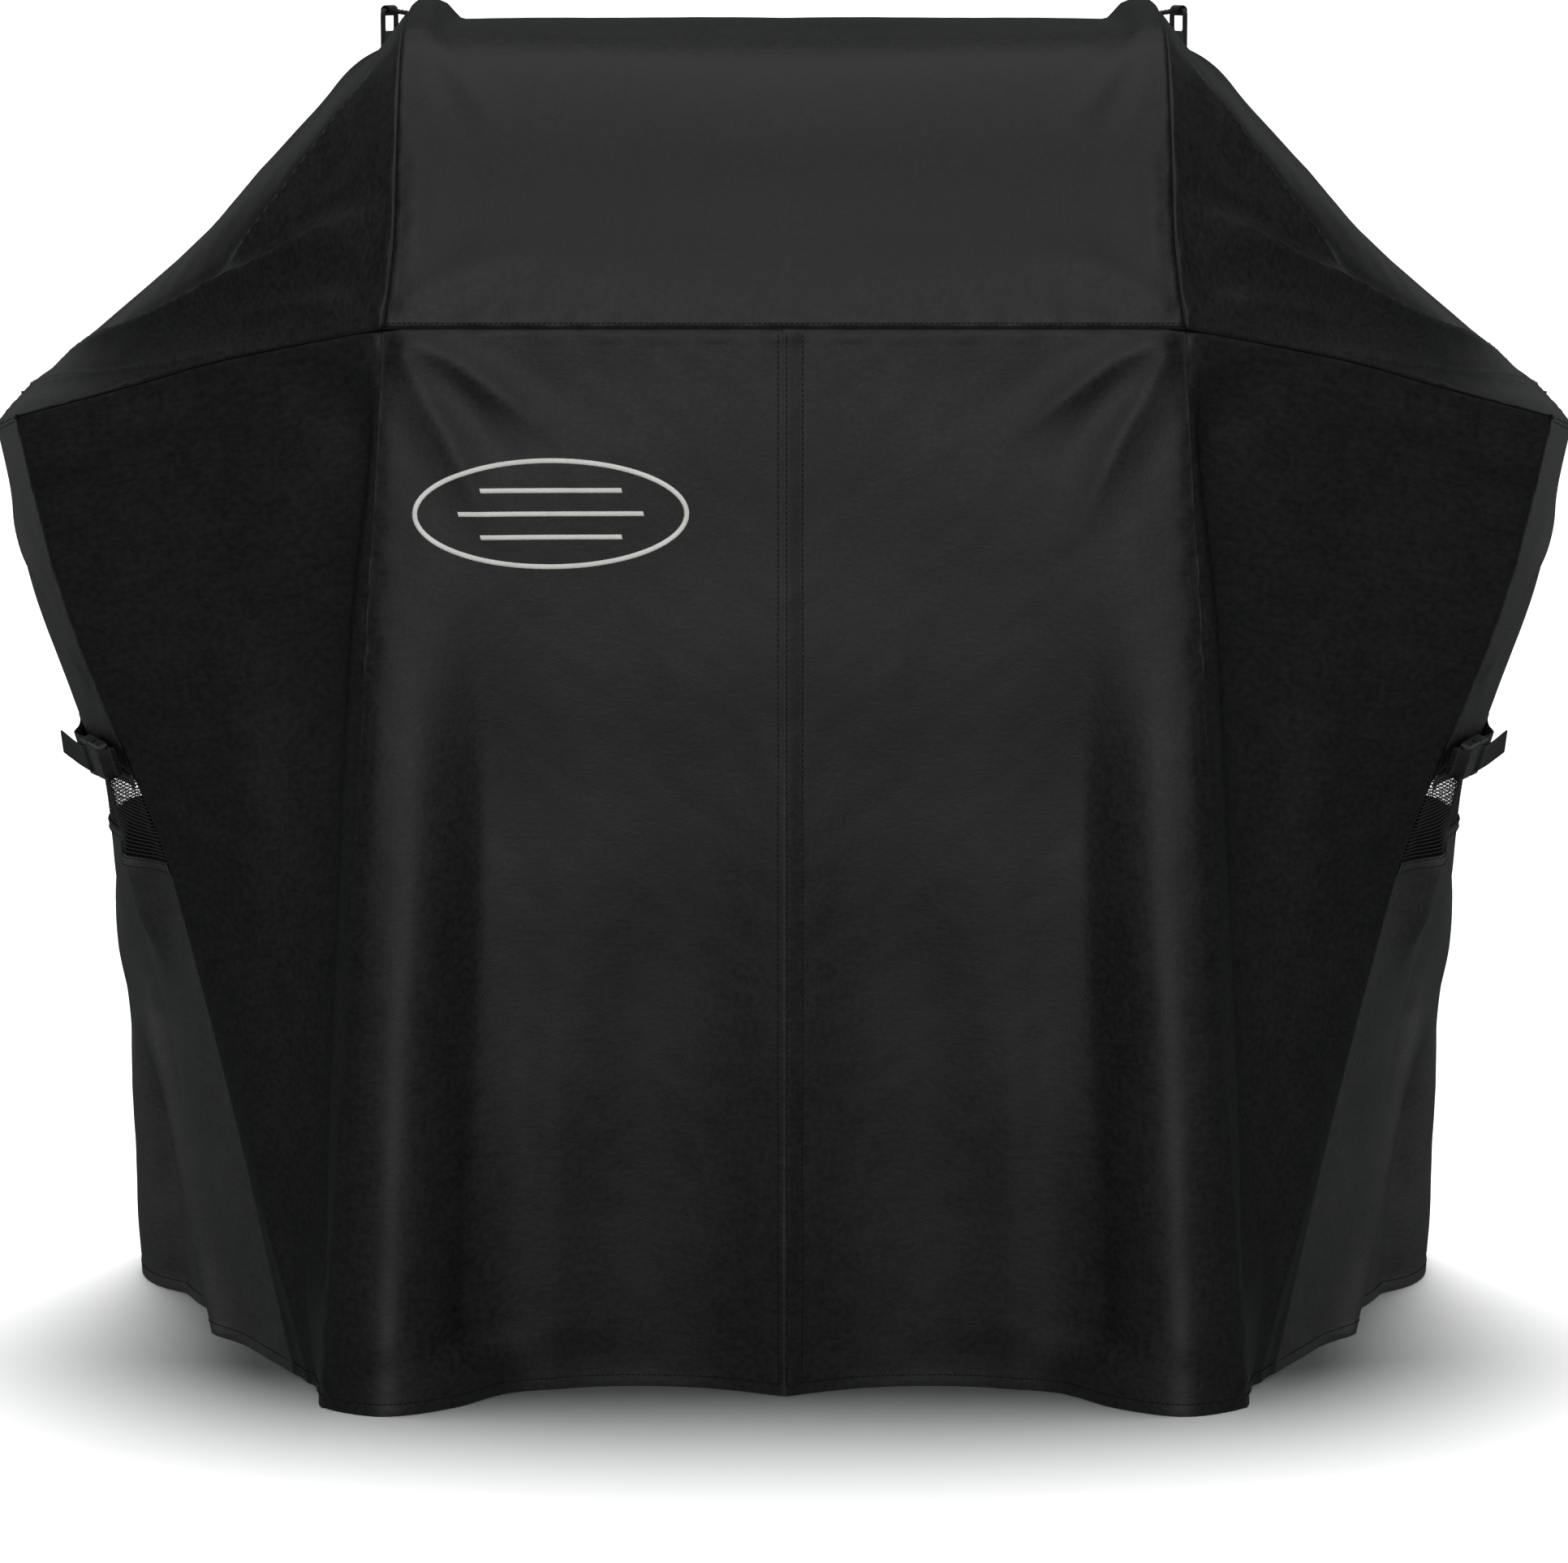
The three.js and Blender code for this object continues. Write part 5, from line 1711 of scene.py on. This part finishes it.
@dataclass
class Studio:
    """A pale floor, soft light from above and in front, and the camera."""

    floor_level: float = -0.0005
    floor_half: float = 400.0
    floor_grey: float = 0.93
    world: float = 0.10
    tint: tuple[float, float, float] = (0.93, 1.02, 0.99)
    floor_from: tuple[float, float, float] = (0.0, 0.27, 1.0)
    floor_spread: float = 34.0
    floor_energy: float = 5.3
    lens: float = 121.83
    distance: float = 4.2
    ridge: float = -0.309
    eye: float = 1.209
    pitch: float = 9.24

    def build(self) -> None:
        """Sets the stage."""
        scene = bpy.context.scene
        scene.view_settings.view_transform = "Standard"
        scene.view_settings.look = "None"
        scene.view_settings.exposure = 0.0
        scene.view_settings.gamma = 1.0
        self._world(scene)
        floor = self._floor()
        self._floor_light(floor)
        groups = {name: self._group(name, starts) for name, starts in LIT_TOGETHER.items()}
        sides = [lamp.on_side(side) for side in SIDES for lamp in SIDE_LAMPS]
        for lamp in (*FRONT_LAMPS, *sides, *REAR_LAMPS):
            self._area(lamp).light_linking.receiver_collection = groups[lamp.reaches]
        self._camera(scene)

    @staticmethod
    def _group(name: str, starts: tuple[str, ...]) -> bpy.types.Collection:
        """The pieces whose names start in one of the given ways, for a light that reaches them alone."""
        group = bpy.data.collections.new(name)
        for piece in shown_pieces():
            if piece.name.startswith(starts):
                group.objects.link(piece)
        return group

    def _world(self, scene: bpy.types.Scene) -> None:
        """Even pale light from all round."""
        world = bpy.data.worlds.new("studio")
        world.use_nodes = True
        background = world.node_tree.nodes["Background"]
        background.inputs["Color"].default_value = (*self.tint, 1.0)
        background.inputs["Strength"].default_value = self.world
        scene.world = world

    def _floor(self) -> bpy.types.Object:
        """A wide plain floor."""
        mesh = bpy.data.meshes.new("floor")
        r = self.floor_half
        mesh.from_pydata([(-r, -r, 0.0), (r, -r, 0.0), (r, r, 0.0), (-r, r, 0.0)], [], [(0, 1, 2, 3)])
        n = Nodes("floor")
        n.fixed(Roughness=0.9, Specular_IOR_Level=0.1)
        n.shader.inputs["Base Color"].default_value = (*[self.floor_grey] * 3, 1.0)
        mesh.materials.append(n.material)
        floor = bpy.data.objects.new("floor", mesh)
        floor.location.z = self.floor_level
        floor.visible_diffuse = floor.visible_glossy = False
        bpy.context.scene.collection.objects.link(floor)
        floor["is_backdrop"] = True
        return floor

    def _floor_light(self, floor: bpy.types.Object) -> None:
        """A broad distant light for the floor alone, so that it stays pale while the cover is lit softly."""
        light = bpy.data.lights.new("floor_light", "SUN")
        light.angle = math.radians(self.floor_spread)
        light.energy = self.floor_energy
        lamp = bpy.data.objects.new("floor_light", light)
        lamp.rotation_euler = (-Vector(self.floor_from)).to_track_quat("-Z", "Y").to_euler()
        bpy.context.scene.collection.objects.link(lamp)
        receivers = bpy.data.collections.new("floor_only")
        receivers.objects.link(floor)
        lamp.light_linking.receiver_collection = receivers

    @staticmethod
    def _area(lamp: Lamp) -> bpy.types.Object:
        """Adds a rectangular soft light."""
        light = bpy.data.lights.new(lamp.name, "AREA")
        light.shape = "RECTANGLE"
        light.size, light.size_y = lamp.size
        light.energy = lamp.watts
        thing = bpy.data.objects.new(lamp.name, light)
        thing.location = lamp.place
        thing.rotation_euler = (Vector(lamp.target) - Vector(lamp.place)).to_track_quat("-Z", "Y").to_euler()
        bpy.context.scene.collection.objects.link(thing)
        return thing

    def _camera(self, scene: bpy.types.Scene) -> None:
        """A long lens from a little above the lid."""
        data = bpy.data.cameras.new("camera")
        data.sensor_width = 36.0
        data.lens = self.lens
        data.clip_end = 100.0
        camera = bpy.data.objects.new("camera", data)
        camera.location = (0.0, self.ridge - self.distance, self.eye)
        camera.rotation_euler = (math.radians(90.0 - self.pitch), 0.0, 0.0)
        scene.collection.objects.link(camera)
        scene.camera = camera


def main() -> None:
    """Builds the cover piece by piece."""
    logging.basicConfig(level=logging.INFO, format="%(message)s")
    form = CoverForm()
    cloths = Cloths(form)
    for assembly in (
        Panels(cloths),
        Seams(cloths),
        Vents(cloths),
        Buckles(cloths),
        HangingFrames(),
        Badge(cloths),
        Studio(),
    ):
        log.info("building %s", type(assembly).__name__)
        assembly.build()
    bpy.context.view_layer.update()


if __name__ == "__main__":
    main()
